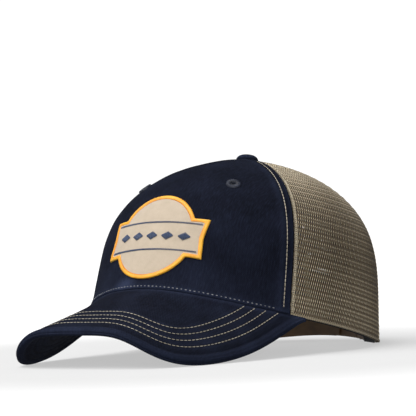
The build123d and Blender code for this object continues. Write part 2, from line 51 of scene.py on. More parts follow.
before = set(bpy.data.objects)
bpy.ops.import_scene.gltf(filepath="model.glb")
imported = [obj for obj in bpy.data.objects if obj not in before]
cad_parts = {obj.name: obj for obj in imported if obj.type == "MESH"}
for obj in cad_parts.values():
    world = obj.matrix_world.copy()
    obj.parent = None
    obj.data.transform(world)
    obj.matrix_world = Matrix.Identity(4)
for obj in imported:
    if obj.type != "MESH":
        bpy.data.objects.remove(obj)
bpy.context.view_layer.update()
MM = 0.001

# ---- the cap's shape, as its CAD frame has it --------------------------------------------
HALF_WIDTH = 86.8
FRONT = 102.2
BACK = 100.2
HEIGHT = 102.4
TOP_Y = 0.3
RIM_RISE = (6.5, -0.9, -7.5, -7.3, 0.1)
WALL_UPRIGHT = (0.88, 0.487, 0.776)
TOP_ROUND = (1.168, 1.25, 0.931)
WALL_PULL = (-0.034, -0.019, -0.058)
FRONT_LEAN = -0.025
TILT = math.radians(9.8637)
SHIFT = (0.0, 33.0065, 19.4471)

TWILL = 1.0
MESH = 1.3
GAP = 0.12
HEM = 0.7
TAPE = 0.5
SWEATBAND = 1.4
BUCKRAM = 0.8
FRONT_SEAM = 60.3
FRONT_SEAM_TOP = 64.0
SIDE_SEAM = 120.0
HEM_HEIGHT = 13.0
RIM_LIFT = 0.6
SWEATBAND_HEIGHT = 32.0

OPENING = 37.0
OPENING_STRAIGHT = 9.0
BINDING_WIDTH = 7.0
BINDING = 0.7

STRAP = 1.3
STRAP_WIDTH = 14.5
STRAP_LIFT = 1.0
HINGE_INSET = 1.5
TAB_LENGTH = 20.0
STRAP_FOLD = 2.4

VISOR_HALF_WIDTH = 81.8
VISOR_REACH = 121.2
VISOR_BACK_Y = -41.5
VISOR_SQUARENESS = 4.4
VISOR_TAPER = 1.46
VISOR_ROOT_TURN = 67.9
VISOR_EDGE_HEIGHT = (-24.5, -35.8, -37.4, -21.5, -5.2)
VISOR_THICKNESS = 3.64
VISOR_ROOT_GAP = 0.35
VISOR_END = 88.6

BUTTON_RADIUS = 7.0
BUTTON_HEIGHT = 4.3
EYELET_TURN = 34.0
EYELET_HEIGHT = 74.5
EYELET_STITCHES = 46
EYELET_CUT = 2.6
PATCH_HEIGHT = 33.7
PATCH_RADIUS = 28.3
BANNER_HALF_WIDTH = 34.6
BANNER_HALF_HEIGHT = 11.8
BANNER_FLARE = 1.2
PATCH_BORDER_WIDTH = 2.6

# Rows of stitches: how far in from the visor's edge, and from the front panel's side seam.
VISOR_ROWS = (12.0, 18.0, 24.0, 30.0)
FRONT_ROW_IN = 4.6

SIDES = (("left", 1), ("right", -1))

# The panels, the raised seams and the tapes stop this far from the middle of the top.
PANEL_TOP_RADIUS = 4.5
SEAM_TOP_RADIUS = 6.5
TAPE_TOP_RADIUS = 15.0
TAPE_HALF_WIDTH = 6.0
# The lining stops this many degrees short of the side seams, and at this rise.
LINING_INSET = 7.0
LINING_TOP = 0.84
# A mean radius that turns degrees round the rim into millimetres along it.
RIM_RADIUS = 95.0
# The turns where the hem ends at the opening's binding, and where the strap's halves bend.
HEM_END = 180 - math.degrees(math.asin((OPENING + BINDING_WIDTH + 1.0) / HALF_WIDTH))
HINGE_TURN = 180 - math.degrees(math.asin((OPENING - HINGE_INSET) / HALF_WIDTH))
# How deep the strap's sewn-in ends lie, under the binding.
TAB_DEPTH = MESH + GAP + BINDING + 0.1


def linear(hex_colour):
    """A six-digit sRGB hex colour as linear red, green, blue and alpha."""
    parts = [int(hex_colour[i : i + 2], 16) / 255 for i in (1, 3, 5)]
    return [c / 12.92 if c <= 0.04045 else ((c + 0.055) / 1.055) ** 2.4 for c in parts] + [1.0]


# ---- surfaces ----------------------------------------------------------------------------
def around(turn, stations):
    """A smooth value round the crown through stations spaced evenly from front to back."""
    last = len(stations) - 1
    total = 0.0
    for k in range(last + 1):
        share = 0.0
        for j, value in enumerate(stations):
            end = 0.5 if j in (0, last) else 1.0
            share += end * value * math.cos(math.pi * k * j / last)
        half = 1.0 if k in (0, last) else 2.0
        total = total + half / last * share * np.cos(k * np.radians(turn))
    return total


def rim(turn):
    """The rim, where the crown's outer face starts."""
    angle = np.radians(turn)
    reach = np.where(np.cos(angle) > 0, FRONT, BACK)
    return np.stack([HALF_WIDTH * np.sin(angle), -reach * np.cos(angle), around(turn, RIM_RISE)], -1)


def skin(turn, rise):
    """The crown's outer face: rise runs from 0 at the rim to 1 at the top."""
    turn, rise = np.broadcast_arrays(np.asarray(turn, float), np.asarray(rise, float))
    upright = around(turn, WALL_UPRIGHT)
    arc = math.pi / 2 * np.clip(rise, 0, 1) ** (1 / upright)
    up = np.sin(arc) ** upright
    spread = np.maximum(np.cos(arc), 1e-9) ** around(turn, TOP_ROUND)
    spread = spread + around(turn, WALL_PULL) * np.sin(math.pi * up) * (1 - up)
    front = np.maximum(np.cos(np.radians(turn)), 0.0) ** 2
    spread = spread + FRONT_LEAN * front * np.sin(2 * math.pi * up)
    foot = rim(turn)
    return np.stack(
        [
            foot[..., 0] * spread,
            TOP_Y + (foot[..., 1] - TOP_Y) * spread,
            foot[..., 2] + (HEIGHT - foot[..., 2]) * up,
        ],
        -1,
    )


def unit(vectors):
    return vectors / np.maximum(np.linalg.norm(vectors, axis=-1, keepdims=True), 1e-12)


def skin_normal(turn, rise):
    turn, rise = np.broadcast_arrays(np.asarray(turn, float), np.asarray(rise, float))
    rise = np.clip(rise, 0.0, 0.985)
    along = skin(turn, rise + 0.004) - skin(turn, np.maximum(rise - 0.004, 0.0))
    across = skin(turn + 0.4, rise) - skin(turn - 0.4, rise)
    return unit(np.cross(across, along))


def wall(turn, rise, depth=0.0):
    """A point a depth inside the crown's outer face."""
    return skin(turn, rise) - skin_normal(turn, rise) * np.asarray(depth, float)[..., None]


def rise_at(turn, height):
    """The rise where the crown is that high above its rim."""
    upright = around(turn, WALL_UPRIGHT)
    up = np.clip(np.asarray(height, float) / (HEIGHT - around(turn, RIM_RISE)), 0, 1)
    arc = np.arcsin(up ** (1 / upright))
    return (2 * arc / math.pi) ** upright


def height_at(turn, rise):
    return skin(turn, rise)[..., 2] - around(turn, RIM_RISE)


def spread_at(turn, rise):
    """How far a place on the crown is from the upright line through its top."""
    point = skin(turn, rise)
    return np.hypot(point[..., 0], point[..., 1] - TOP_Y)


def rise_at_radius(turn, radius):
    """The rise where the crown has closed in to a radius about its top."""
    low = np.full(np.shape(turn), 0.3)
    high = np.ones(np.shape(turn))
    for _ in range(24):
        middle = (low + high) / 2
        wide = spread_at(turn, middle) > radius
        low = np.where(wide, middle, low)
        high = np.where(wide, high, middle)
    return low


def run_lengths(line):
    """How far along a line each of its points lies."""
    return np.concatenate([[0.0], np.cumsum(np.linalg.norm(np.diff(line, axis=0), axis=1))])


def across_crown(degrees, turn, rise):
    """Degrees round the crown at a place, as millimetres."""
    return np.radians(degrees) * np.maximum(spread_at(turn, rise), 1.0)


def front_seam(rise):
    return FRONT_SEAM + (FRONT_SEAM_TOP - FRONT_SEAM) * rise


def visor_root_turn(swing):
    """Where on the rim the visor's root lies, with the arc and sine that its edge is drawn with."""
    sine = np.sin(np.radians(swing))
    arc = np.copysign(np.arcsin(np.abs(sine) ** (VISOR_SQUARENESS / 2)), sine)
    return np.degrees(arc) * VISOR_ROOT_TURN / 90, arc, sine


def visor_skin(swing, out):
    """The visor's top face: swing is -90 to 90 degrees, out 0 at the root and 1 at the edge."""
    swing, out = np.broadcast_arrays(np.asarray(swing, float), np.asarray(out, float))
    turn, arc, sine = visor_root_turn(swing)
    root = wall(turn, 0.0, -VISOR_ROOT_GAP)
    edge = np.stack(
        [
            VISOR_HALF_WIDTH * sine,
            VISOR_BACK_Y - VISOR_REACH * np.maximum(np.cos(arc), 0.0) ** (2 / VISOR_TAPER),
            around(2 * np.degrees(arc), VISOR_EDGE_HEIGHT),
        ],
        -1,
    )
    return root + (edge - root) * out[..., None]


def visor_width(swing):
    return np.linalg.norm(visor_skin(swing, 1) - visor_skin(swing, 0), axis=-1)


def visor_frame(swing, out):
    """At a place on the visor: the unit vectors outwards along it and down from its top face."""
    across = visor_skin(swing + 0.3, out) - visor_skin(swing - 0.3, out)
    outward = visor_skin(swing, 1) - visor_skin(swing, 0)
    down = unit(np.cross(across, outward))
    down = np.where(down[..., 2:3] > 0, -down, down)
    return unit(outward), down


def visor_slant(swing):
    """How square the visor's outer edge is to the line that runs out to it, 1 where it is square."""
    edge = unit(visor_skin(swing + 0.2, 1) - visor_skin(swing - 0.2, 1))
    return np.linalg.norm(np.cross(edge, visor_frame(swing, 1)[0]), axis=-1)


def smooth_step(value, start, end):
    share = np.clip((value - start) / (end - start), 0.0, 1.0)
    return share * share * (3 - 2 * share)


def hump(value, middle, half):
    """A smooth bump of height 1, that far wide on each side of its middle."""
    return 1 - smooth_step(np.abs(value - middle), 0.0, half)


def stand(points):
    """Points in the cap's frame, in millimetres, as points in the shared frame, in metres."""
    points = np.asarray(points, float)
    cosine, sine = math.cos(TILT), math.sin(TILT)
    x, y, z = points[..., 0], points[..., 1], points[..., 2]
    turned = np.stack([x, y * cosine + z * sine, z * cosine - y * sine], -1)
    return (turned + np.array(SHIFT)) * MM


def ripple(points, size, seed=0.0):
    """Soft noise from -1 to 1 at points in millimetres, with features about that size."""
    shift = Vector((seed, seed * 1.7, -seed))
    return np.array([noise.noise(Vector(point) / size + shift) for point in points])


# ---- materials ---------------------------------------------------------------------------
# The wave node repeats each pi / 10, so its scale is this over a spacing in millimetres.
WAVE = 0.314159


def add(tree, kind, inputs=None, out=0, stops=(), **settings):
    """Adds one node with its settings, colour stops and links, and hands back one of its outputs."""
    node = tree.nodes.new("ShaderNode" + kind)
    for name, value in settings.items():
        setattr(node, name, value)
    for socket, value in (inputs or {}).items():
        if isinstance(value, bpy.types.NodeSocket):
            tree.links.new(value, node.inputs[socket])
        else:
            node.inputs[socket].default_value = value
    if stops:
        for _ in stops[2:]:
            node.color_ramp.elements.new(0.5)
        for element, (place, colour) in zip(node.color_ramp.elements, stops):
            element.position = place
            element.color = colour
    return node.outputs[out] if node.outputs else None


def weighted(tree, *shares):
    """The sum of some values, each times its share."""
    total = 0.0
    for value, share in shares:
        total = add(tree, "Math", {0: value, 1: share, 2: total}, operation="MULTIPLY_ADD")
    return total


def cloth_position(tree, angle=0.0, scale=(1.0, 1.0, 1.0)):
    """The piece's own UV map, in millimetres along the cloth, turned and scaled."""
    uv = add(tree, "UVMap", uv_map="UVMap")
    turned = {"Vector": uv, "Scale": scale, "Rotation": (0.0, 0.0, math.radians(angle))}
    return add(tree, "Mapping", turned)


def millimetre_position(tree):
    """Object coordinates in millimetres."""
    place = add(tree, "TexCoord", out="Object")
    return add(tree, "Mapping", {"Vector": place, "Scale": (1000, 1000, 1000)})


def finish_surface(tree, look, relief, strength, depth):
    """Ends a material: its shader's sockets, with a relief that deep in millimetres."""
    bump = add(tree, "Bump", {"Strength": strength, "Distance": depth * MM, "Height": relief})
    shader = add(tree, "BsdfPrincipled", {**look, "Normal": bump})
    add(tree, "OutputMaterial", {"Surface": shader})


def washed_twill(tree, dark, mid, worn):
    """Garment-washed cotton twill: slanting ribs, slubs, and paler cloth where it has rubbed.

    Its real ribs are 0.4 mm apart, too fine to show, so they are drawn about twice as coarse.
    """
    slanted = {"Vector": cloth_position(tree, 30), "Scale": WAVE / 0.9, "Distortion": 0.8}
    ribs = add(tree, "TexWave", slanted, "Fac")
    weft = add(tree, "TexWave", {"Vector": cloth_position(tree, -20), "Scale": WAVE / 0.45}, "Fac")
    drawn_out = cloth_position(tree, scale=(1.0, 0.16, 1.0))
    slub = add(tree, "TexNoise", {"Vector": drawn_out, "Scale": 1 / 0.9, "Detail": 3.0, "Roughness": 0.7})
    place = millimetre_position(tree)
    blotch = add(tree, "TexNoise", {"Vector": place, "Scale": 1 / 14.0, "Detail": 4.0, "Roughness": 0.62})
    fleck = add(tree, "TexNoise", {"Vector": place, "Scale": 1 / 1.1, "Detail": 2.0, "Roughness": 0.7})
    wear = add(tree, "Attribute", out="Fac", attribute_name="wear")
    tone = add(tree, "ValToRGB", {"Fac": blotch}, stops=((0.32, dark), (0.68, mid)))
    knots = add(tree, "Math", {0: slub, 1: 3.0}, operation="POWER")
    share = weighted(tree, (fleck, wear), (wear, 0.35), (ribs, 0.1), (knots, 0.85))
    mix = add(tree, "Mix", {"Factor": share, 6: tone, 7: worn}, 2, data_type="RGBA")
    look = {
        "Base Color": mix, "Roughness": 0.95, "Specular IOR Level": 0.05,
        "Sheen Weight": 0.01, "Sheen Roughness": 0.5, "Sheen Tint": worn,
    }
    finish_surface(tree, look, weighted(tree, (ribs, 1.0), (weft, 0.5), (slub, 2.0)), 0.5, 0.2)


def knitted_mesh(tree, shade, body, light):
    """Warp-knitted polyester: upright loops in rows, each a pale rope with a dark gap beside it; the ropes'
    pale middles and the dark at their hole rims are painted highlight and painted shade.

    Its real cells are 1.3 mm apart, too fine to show, so the net and its holes are made about a
    quarter coarser.
    """
    along = cloth_position(tree, 90)
    loops = add(tree, "TexWave", {"Vector": cloth_position(tree), "Scale": WAVE / 0.44}, "Fac")
    courses = add(tree, "TexWave", {"Vector": along, "Scale": WAVE / 0.52}, "Fac")
    rows = add(tree, "TexWave", {"Vector": along, "Scale": WAVE / 2.6}, "Fac")
    place = millimetre_position(tree)
    fleck = add(tree, "TexNoise", {"Vector": place, "Scale": 1 / 0.9, "Detail": 2.0, "Roughness": 0.6})
    blotch = add(tree, "TexNoise", {"Vector": place, "Scale": 1 / 18.0, "Detail": 3.0, "Roughness": 0.55})
    high = add(tree, "Attribute", out="Fac", attribute_name="wear")
    # The strand value is a painted highlight along each strand's ridge and the middle of each upright, fading
    # to painted shade at the hole rims, and it carries the panel's painted highlight and shade.
    strand = weighted(tree, (rows, high), (high, 0.25))
    share = weighted(tree, (strand, 0.6), (loops, 0.14), (fleck, 0.22))
    tone = add(tree, "ValToRGB", {"Fac": share}, stops=((0.12, shade), (0.4, body), (0.85, light)))
    wash = weighted(tree, (blotch, 0.25))
    mix = add(tree, "Mix", {"Factor": wash, 6: tone, 7: shade}, 2, data_type="RGBA")
    look = {
        "Base Color": mix, "Roughness": 0.78, "Specular IOR Level": 0.35,
        "Sheen Weight": 0.15, "Sheen Roughness": 0.45,
    }
    finish_surface(tree, look, weighted(tree, (loops, 1.0), (courses, 0.5)), 0.6, 0.25)


def plain_weave(tree, dark, pale, pitch, fuzz=0.15):
    """Plain-woven tape or lining: fine crossed threads with a dry, matt face."""
    warp = add(tree, "TexWave", {"Vector": cloth_position(tree), "Scale": WAVE / pitch}, "Fac")
    weft = add(tree, "TexWave", {"Vector": cloth_position(tree, 90), "Scale": WAVE / pitch}, "Fac")
    place = millimetre_position(tree)
    blotch = add(tree, "TexNoise", {"Vector": place, "Scale": 1 / 6.0, "Detail": 4.0, "Roughness": 0.6})
    fleck = add(tree, "TexNoise", {"Vector": place, "Scale": 1 / 0.8, "Detail": 2.0, "Roughness": 0.6})
    weave = add(tree, "Math", {0: warp, 1: weft}, operation="MULTIPLY")
    share = weighted(tree, (weave, 0.5), (blotch, 0.5), (fleck, 0.2))
    tone = add(tree, "ValToRGB", {"Fac": share}, stops=((0.15, dark), (0.9, pale)))
    look = {
        "Base Color": tone, "Roughness": 0.9, "Specular IOR Level": 0.3,
        "Sheen Weight": fuzz, "Sheen Roughness": 0.5,
    }
    finish_surface(tree, look, weave, 0.5, 0.2)


def sewing_thread(tree, dark, pale, sheen):
    """Spun polyester thread: a fine twist along each stitch, brighter where its wear value is high, a painted
    highlight.
    """
    place = millimetre_position(tree)
    twist = add(tree, "TexNoise", {"Vector": place, "Scale": 1 / 0.35, "Detail": 2.0, "Roughness": 0.6})
    blotch = add(tree, "TexNoise", {"Vector": place, "Scale": 1 / 5.0, "Detail": 2.0, "Roughness": 0.5})
    crown = add(tree, "Attribute", out="Fac", attribute_name="wear")
    share = weighted(tree, (twist, 0.4), (blotch, 0.4), (crown, 0.35))
    tone = add(tree, "ValToRGB", {"Fac": share}, stops=((0.35, dark), (0.85, pale)))
    look = {
        "Base Color": tone, "Roughness": 0.55, "Specular IOR Level": 0.5,
        "Sheen Weight": sheen, "Sheen Roughness": 0.3,
    }
    finish_surface(tree, look, twist, 0.4, 0.1)


def moulded_plastic(tree, dark, pale, roughness):
    """Moulded polyethylene: a waxy half-shine with faint flow marks and fine scuffs."""
    place = millimetre_position(tree)
    flow = add(tree, "TexNoise", {"Vector": place, "Scale": 1 / 9.0, "Detail": 3.0, "Roughness": 0.5})
    scuff = add(tree, "TexNoise", {"Vector": place, "Scale": 1 / 0.7, "Detail": 4.0, "Roughness": 0.7})
    tone = add(tree, "ValToRGB", {"Fac": flow}, stops=((0.3, dark), (0.7, pale)))
    gloss = {"Value": scuff, "To Min": roughness - 0.08, "To Max": roughness + 0.12}
    look = {"Base Color": tone, "Roughness": add(tree, "MapRange", gloss), "IOR": 1.5}
    finish_surface(tree, look, scuff, 0.25, 0.1)


def tinned_steel(tree, dark, pale):
    """Tin-plated pressed steel: a dull silver with fine drawing scratches."""
    place = millimetre_position(tree)
    scratch = add(tree, "TexNoise", {"Vector": place, "Scale": 1 / 0.5, "Detail": 5.0, "Roughness": 0.7})
    tone = add(tree, "ValToRGB", {"Fac": scratch}, stops=((0.35, dark), (0.65, pale)))
    gloss = add(tree, "MapRange", {"Value": scratch, "To Min": 0.3, "To Max": 0.5})
    look = {"Base Color": tone, "Metallic": 1.0, "Roughness": gloss}
    finish_surface(tree, look, scratch, 0.2, 0.05)


def backlit_acrylic(tree, dark, pale):
    """Backlit white acrylic: matt, its glow a little dimmer under the cap as a painted shadow, and brighter
    away from it.
    """
    place = millimetre_position(tree)
    grain = add(tree, "TexNoise", {"Vector": place, "Scale": 1 / 60.0, "Detail": 3.0, "Roughness": 0.6})
    tone = add(tree, "ValToRGB", {"Fac": grain}, stops=((0.0, dark), (1.0, pale)))
    away = add(tree, "VectorMath", {0: place}, "Value", operation="LENGTH")
    # The glow is dimmer within about 0.2 to 0.4 m of the middle, a painted shadow under the cap.
    span = {"Value": away, "From Min": 190.0, "From Max": 420.0, "To Min": 0.5, "To Max": 0.9}
    glow_with_painted_shadow = add(tree, "MapRange", span, interpolation_type="SMOOTHSTEP")
    look = {
        "Base Color": tone, "Roughness": 0.9, "Specular IOR Level": 0.1,
        "Emission Color": (1.0, 1.0, 1.0, 1.0), "Emission Strength": glow_with_painted_shadow,
    }
    add(tree, "OutputMaterial", {"Surface": add(tree, "BsdfPrincipled", look)})


# Each finish: how it is made, its colours, dark first, and its own numbers. A colour is a hex
# value or the name of one that a user can change.
FINISHES = {
    # Dyed twill washed after sewing: deep navy that greys on every raised edge.
    "washed_navy_twill": (washed_twill, "#06070c", "navy", "washed"),
    # The same twill pulled tight over a button: darker, with pale gathers.
    "covered_button_twill": (washed_twill, "#05060a", "#090a11", "washed"),
    # Knitted polyester: sandy ropes over a dark inside, with a painted highlight on the ropes and painted
    # shade at their hole rims.
    "knitted_khaki_mesh": (knitted_mesh, "#0e0b07", "khaki", "#fff0cf"),
    # Stiffened cotton: flat, dark and coarse, its dark cloth deepened to near black as painted shade of the
    # crown's inside.
    "stiffened_lining": (plain_weave, "#0c0e14", "#1b1e28", 0.9),
    # Cotton tape: a soft grey navy.
    "navy_cotton_tape": (plain_weave, "#191c28", "#33384a", 0.5),
    # Brushed twill: almost black, with no shine, a dark navy cloth deepened to near black as painted shade of
    # the crown's inside.
    "brushed_sweatband_twill": (plain_weave, "#08090d", "#13151c", 0.6, 0.05),
    # Woven cotton tape: a dry brown.
    "woven_khaki_tape": (plain_weave, "#4d4334", "#7b6d57", 0.5),
    # Two-ply yarn: pale with brown between, its pale crowns a painted highlight.
    "twisted_khaki_yarn": (sewing_thread, "#5e523f", "#e0d3b8", 0.1),
    # Spun polyester threads: pale tan, navy and slate dashes.
    "spun_tan_thread": (sewing_thread, "#8d8470", "tan", 0.15),
    "spun_navy_thread": (sewing_thread, "#2a3044", "#596078", 0.15),
    "spun_slate_thread": (sewing_thread, "#5b5e66", "#a5a6a6", 0.15),
    # Rayon threads: a silky satin stitch in navy, gold and blue.
    "rayon_eyelet_thread": (sewing_thread, "#090d18", "#18223a", 0.1),
    "rayon_border_thread": (sewing_thread, "#de860f", "border", 0.1),
    "rayon_motif_thread": (sewing_thread, "#1d2c48", "#34486c", 0.3),
    # Bleached twill: a warm off-white ground.
    "bleached_patch_twill": (plain_weave, "#ab9c89", "#cdbda8", 0.7),
    # Moulded polyethylene: a waxy brown strap, and a white board.
    "moulded_strap_plastic": (moulded_plastic, "#4d371c", "strap", 0.42),
    "moulded_visor_board": (moulded_plastic, "#d6d4cc", "#e4e2da", 0.5),
    # Tin plate: dull silver.
    "tin_plated_steel": (tinned_steel, "#a9aaab", "#cfd0d0"),
    # A lit acrylic sheet: a plain pale floor, its glow dimmed near the cap as a painted shadow.
    "backlit_acrylic_floor": (backlit_acrylic, "#909090", "#949494"),
}


def value_of(setting):
    """A finish's setting: a number as it is, a hex colour as linear, or a colour by its name."""
    if not isinstance(setting, str):
        return setting
    if setting.startswith("#"):
        return linear(setting)
    return list(getattr(bpy.context.scene.cap_colours, setting))


def material_of(name):
    """Makes a finish the first time it is asked for, and hands back the same one later."""
    if name not in bpy.data.materials:
        make, *settings = FINISHES[name]
        material = bpy.data.materials.new(name)
        material.use_nodes = True
        material.node_tree.nodes.clear()
        make(material.node_tree, *[value_of(setting) for setting in settings])
    return bpy.data.materials[name]


def finish_node(node, finish):
    """Gives a CAD node its finish."""
    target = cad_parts[node]
    target.data.materials.clear()
    target.data.materials.append(material_of(finish))


# ---- making pieces -----------------------------------------------------------------------
def new_piece(name, bm, finish, nodes=(), body="cap"):
    """Turns a bmesh into a piece that rides on a body and stands for its CAD nodes."""
    mesh = bpy.data.meshes.new(name)
    bm.to_mesh(mesh)
    bm.free()
    mesh.shade_smooth()
    mesh.materials.append(material_of(finish))
    piece = bpy.data.objects.new(name, mesh)
    bpy.context.scene.collection.objects.link(piece)
    if body:
        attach(piece, body)
    if nodes:
        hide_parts(*nodes)
    return piece


def cloth_lengths(points, columns, rows):
    """Lengths across and along a net of points, for a UV map in millimetres."""
    net = points.reshape(rows + 1, columns + 1, 3)
    across = np.cumsum(np.linalg.norm(np.diff(net, axis=1), axis=-1), 1)
    across = np.concatenate([np.zeros((rows + 1, 1)), across], 1)
    along = np.cumsum(np.linalg.norm(np.diff(net, axis=0), axis=-1), 0)
    along = np.concatenate([np.zeros((1, columns + 1)), along], 0)
    across = across - across[:, columns // 2][:, None]
    return np.stack([across.ravel(), along.ravel()], -1)


def lay(bm, points, wear, lengths, drop):
    """Moves a flat net's corners to their places, with their wear values (real wear on the twill, painted
    highlight and shade on the knit and the threads) and their lengths on the cloth.

    drop(points) says which faces are left out, by their middles.
    """
    uv_layer = bm.loops.layers.uv.new("UVMap")
    wear_layer = bm.verts.layers.float.new("wear")
    for vert, place, worn in zip(bm.verts, stand(points).tolist(), wear.tolist()):
        vert.co = place
        vert[wear_layer] = worn
    for face in bm.faces:
        for loop in face.loops:
            loop[uv_layer].uv = lengths[loop.vert.index]
    if drop is not None:
        middles = np.array([points[[vert.index for vert in face.verts]].mean(0) for face in bm.faces])
        gone = [face for face, out in zip(bm.faces, drop(middles)) if out]
        bmesh.ops.delete(bm, geom=gone, context="FACES")


def laid_grid(columns, rows, shape, flip=False, closed=False, drop=None):
    """A grid laid onto a surface: shape(u, v) gives places in millimetres and a wear value for each, which
    the twill reads as wear and the knit and threads read as painted highlight and shade.

    closed joins its edges where they meet, and flip turns its faces the other way.
    """
    bm = bmesh.new()
    bmesh.ops.create_grid(bm, x_segments=columns, y_segments=rows, size=0.5)
    bm.verts.ensure_lookup_table()
    flat = np.array([vert.co[:2] for vert in bm.verts]) + 0.5
    points, wear = shape(flat[:, 0], flat[:, 1])
    lay(bm, points, np.broadcast_to(wear, len(points)), cloth_lengths(points, columns, rows), drop)
    if closed:
        bmesh.ops.remove_doubles(bm, verts=bm.verts, dist=0.00001)
    if flip:
        bmesh.ops.reverse_faces(bm, faces=bm.faces)
    return bm


def cloth(name, columns, rows, shape, thickness, finish, slot, nodes=(), body="cap", **grid):
    """A piece of cloth: a laid grid given its thickness inwards."""
    bm = laid_grid(columns, rows, shape, **grid)
    bmesh.ops.solidify(bm, geom=bm.faces[:], thickness=thickness * MM)
    return new_piece(name, bm, finish, nodes, body)


def along_path(values, lengths, places):
    """What values given along a path come to at places between its points."""
    return np.stack([np.interp(places, lengths, values[:, k]) for k in range(values.shape[1])], -1)


def add_beads(bm, middles, along, normals, lengths, width, height, sides=6, rings=5):
    """Small long beads of thread lying on the cloth, one at each middle, in millimetres."""
    small = bmesh.new()
    small.verts.layers.float.new("wear")
    bmesh.ops.create_uvsphere(small, u_segments=sides, v_segments=rings, radius=1.0)
    bead = np.array([vert.co[:] for vert in small.verts])
    mesh = bpy.data.meshes.new("bead")
    small.to_mesh(mesh)
    small.free()
    beads = bmesh.new()
    for _ in range(len(middles)):
        beads.from_mesh(mesh)
    along = unit(along)
    side = unit(np.cross(along, normals))
    up = unit(np.cross(side, along))
    lengths = np.broadcast_to(np.asarray(lengths, float), len(middles))
    points = middles[:, None, :] + bead[None, :, 0:1] * side[:, None, :] * width / 2
    points = points + bead[None, :, 1:2] * up[:, None, :] * height / 2
    points = points + bead[None, :, 2:3] * along[:, None, :] * (lengths / 2)[:, None, None]
    wear_layer = beads.verts.layers.float.get("wear")
    # A painted highlight: each bead is paler towards one end along its length.
    worn = np.tile(0.5 + 0.5 * bead[:, 2], len(middles)).tolist()
    for vert, place, value in zip(beads.verts, stand(points.reshape(-1, 3)).tolist(), worn):
        vert.co = place
        vert[wear_layer] = value
    beads.to_mesh(mesh)
    beads.free()
    bm.from_mesh(mesh)
    bpy.data.meshes.remove(mesh)


def stitch_row(bm, path, normals, pitch=2.6, length=2.1, width=0.5, height=0.34, slant=0.0):
    """A row of stitches along a path on the cloth, each sunk at its ends."""
    lengths = run_lengths(path)
    count = max(int(lengths[-1] / pitch), 1)
    places = (np.arange(count) + 0.5) * lengths[-1] / count
    along = unit(along_path(path, lengths, places + 0.3) - along_path(path, lengths, places - 0.3))
    up = unit(along_path(normals, lengths, places))
    along = along + np.cross(along, up) * slant
    add_beads(bm, along_path(path, lengths, places) + up * 0.05, along, up, length, width, height)


def stitching(name, rows, finish, slot, **sizes):
    """Rows of stitches as one piece; each row is a path and its normals."""
    bm = bmesh.new()
    bm.verts.layers.float.new("wear")
    for path, normals in rows:
        stitch_row(bm, path, normals, **sizes)
    return new_piece(name, bm, finish)


def wall_path(turn, rise, depth=0.0):
    """A path on the crown's wall, with its outward normals."""
    turn, rise = np.broadcast_arrays(np.asarray(turn, float), np.asarray(rise, float))
    depth = np.broadcast_to(np.asarray(depth, float), turn.shape)
    return wall(turn, rise, depth), skin_normal(turn, rise)


def seam_roll(name, path, normals):
    """A raised seam's round roll of mesh along a path."""
    radius = 0.55
    index = np.arange(len(path))
    along = unit(np.gradient(path, axis=0))
    side = unit(np.cross(along, normals))
    up = unit(np.cross(side, along))

    def shape(u, v):
        place = v * index[-1]
        angle = -2 * math.pi * u
        reach = along_path(side, index, place) * (radius * np.cos(angle))[:, None]
        climb = along_path(up, index, place) * (radius * np.sin(angle))[:, None]
        # Its wear value is a painted highlight on the roll's outer face and painted shade on its inner face.
        return along_path(path, index, place) + reach + climb, 0.5 + 0.5 * np.sin(angle)

    bm = laid_grid(7, index[-1], shape, closed=True)
    bmesh.ops.holes_fill(bm, edges=bm.edges, sides=0)
    bmesh.ops.recalc_face_normals(bm, faces=bm.faces)
    return new_piece(name, bm, "knitted_khaki_mesh")


# ---- the crown's twill front --------------------------------------------------------------
def seam_puff(distance):
    """How proud the front panel stands near its side seam, over the folded allowance."""
    edge = -0.55 * (1 - smooth_step(distance, 0.0, 0.9))
    fold = 0.5 * smooth_step(distance, 0.3, 1.2) * (1 - smooth_step(distance, 7.5, 10.5))
    row = -0.42 * hump(distance, FRONT_ROW_IN, 1.3)
    return edge + fold + row


def front_distance(turn, rise):
    """How far a place on the front panel is from its nearer side seam, in millimetres."""
    return across_crown(front_seam(rise) - np.abs(turn), turn, rise)


def front_shape(u, v):
    """The one-piece front panel, from side seam to side seam."""
    rise = v * rise_at_radius(np.zeros_like(u), PANEL_TOP_RADIUS)
    edge = front_seam(rise) - 0.05
    turn = edge * (2 * u - 1)
    distance = front_distance(turn, rise)
    points = wall(turn, rise)
    height = height_at(turn, rise)
    # Soft waves, the seam's fold, the stitches' puckers and the fold at the foot stand proud.
    softness = ripple(points, 26.0, 3.0) * 0.35 + ripple(points, 9.0, 8.0) * 0.10
    calm = smooth_step(distance, 0.0, 12.0) * smooth_step(height, 4.0, 16.0)
    pucker = 0.1 * np.sin(height / 2.6 * math.pi * 0.9) * hump(distance, FRONT_ROW_IN, 4.0)
    foot = 0.75 * (1 - smooth_step(height, 1.6, 6.0)) - 0.4 * hump(height, 1.9, 0.9)
    foot = foot + 0.12 * np.sin(np.radians(turn) * RIM_RADIUS / 2.1) * hump(height, 3.5, 5.0)
    proud = softness * calm + seam_puff(distance) + pucker + foot
    points = points + skin_normal(turn, rise) * proud[:, None]
    # The washing has rubbed the folds, the waves' tops and the foot behind the visor pale.
    wear = 0.34 * hump(distance, 1.1, 1.5) + 0.2 * hump(distance, 7.0, 3.0)
    wear = wear + 0.3 * hump(height, 1.4, 2.4) + 0.12 * (1 - smooth_step(height, 4, 30))
    wear = wear + 0.16 * np.clip(ripple(points, 18.0, 5.0) + 0.2, 0, 1)
    wear = wear + 0.8 * hump(turn, -9.0, 8.0) * hump(height, 4.0, 6.0)
    return points, np.clip(wear, 0, 1)


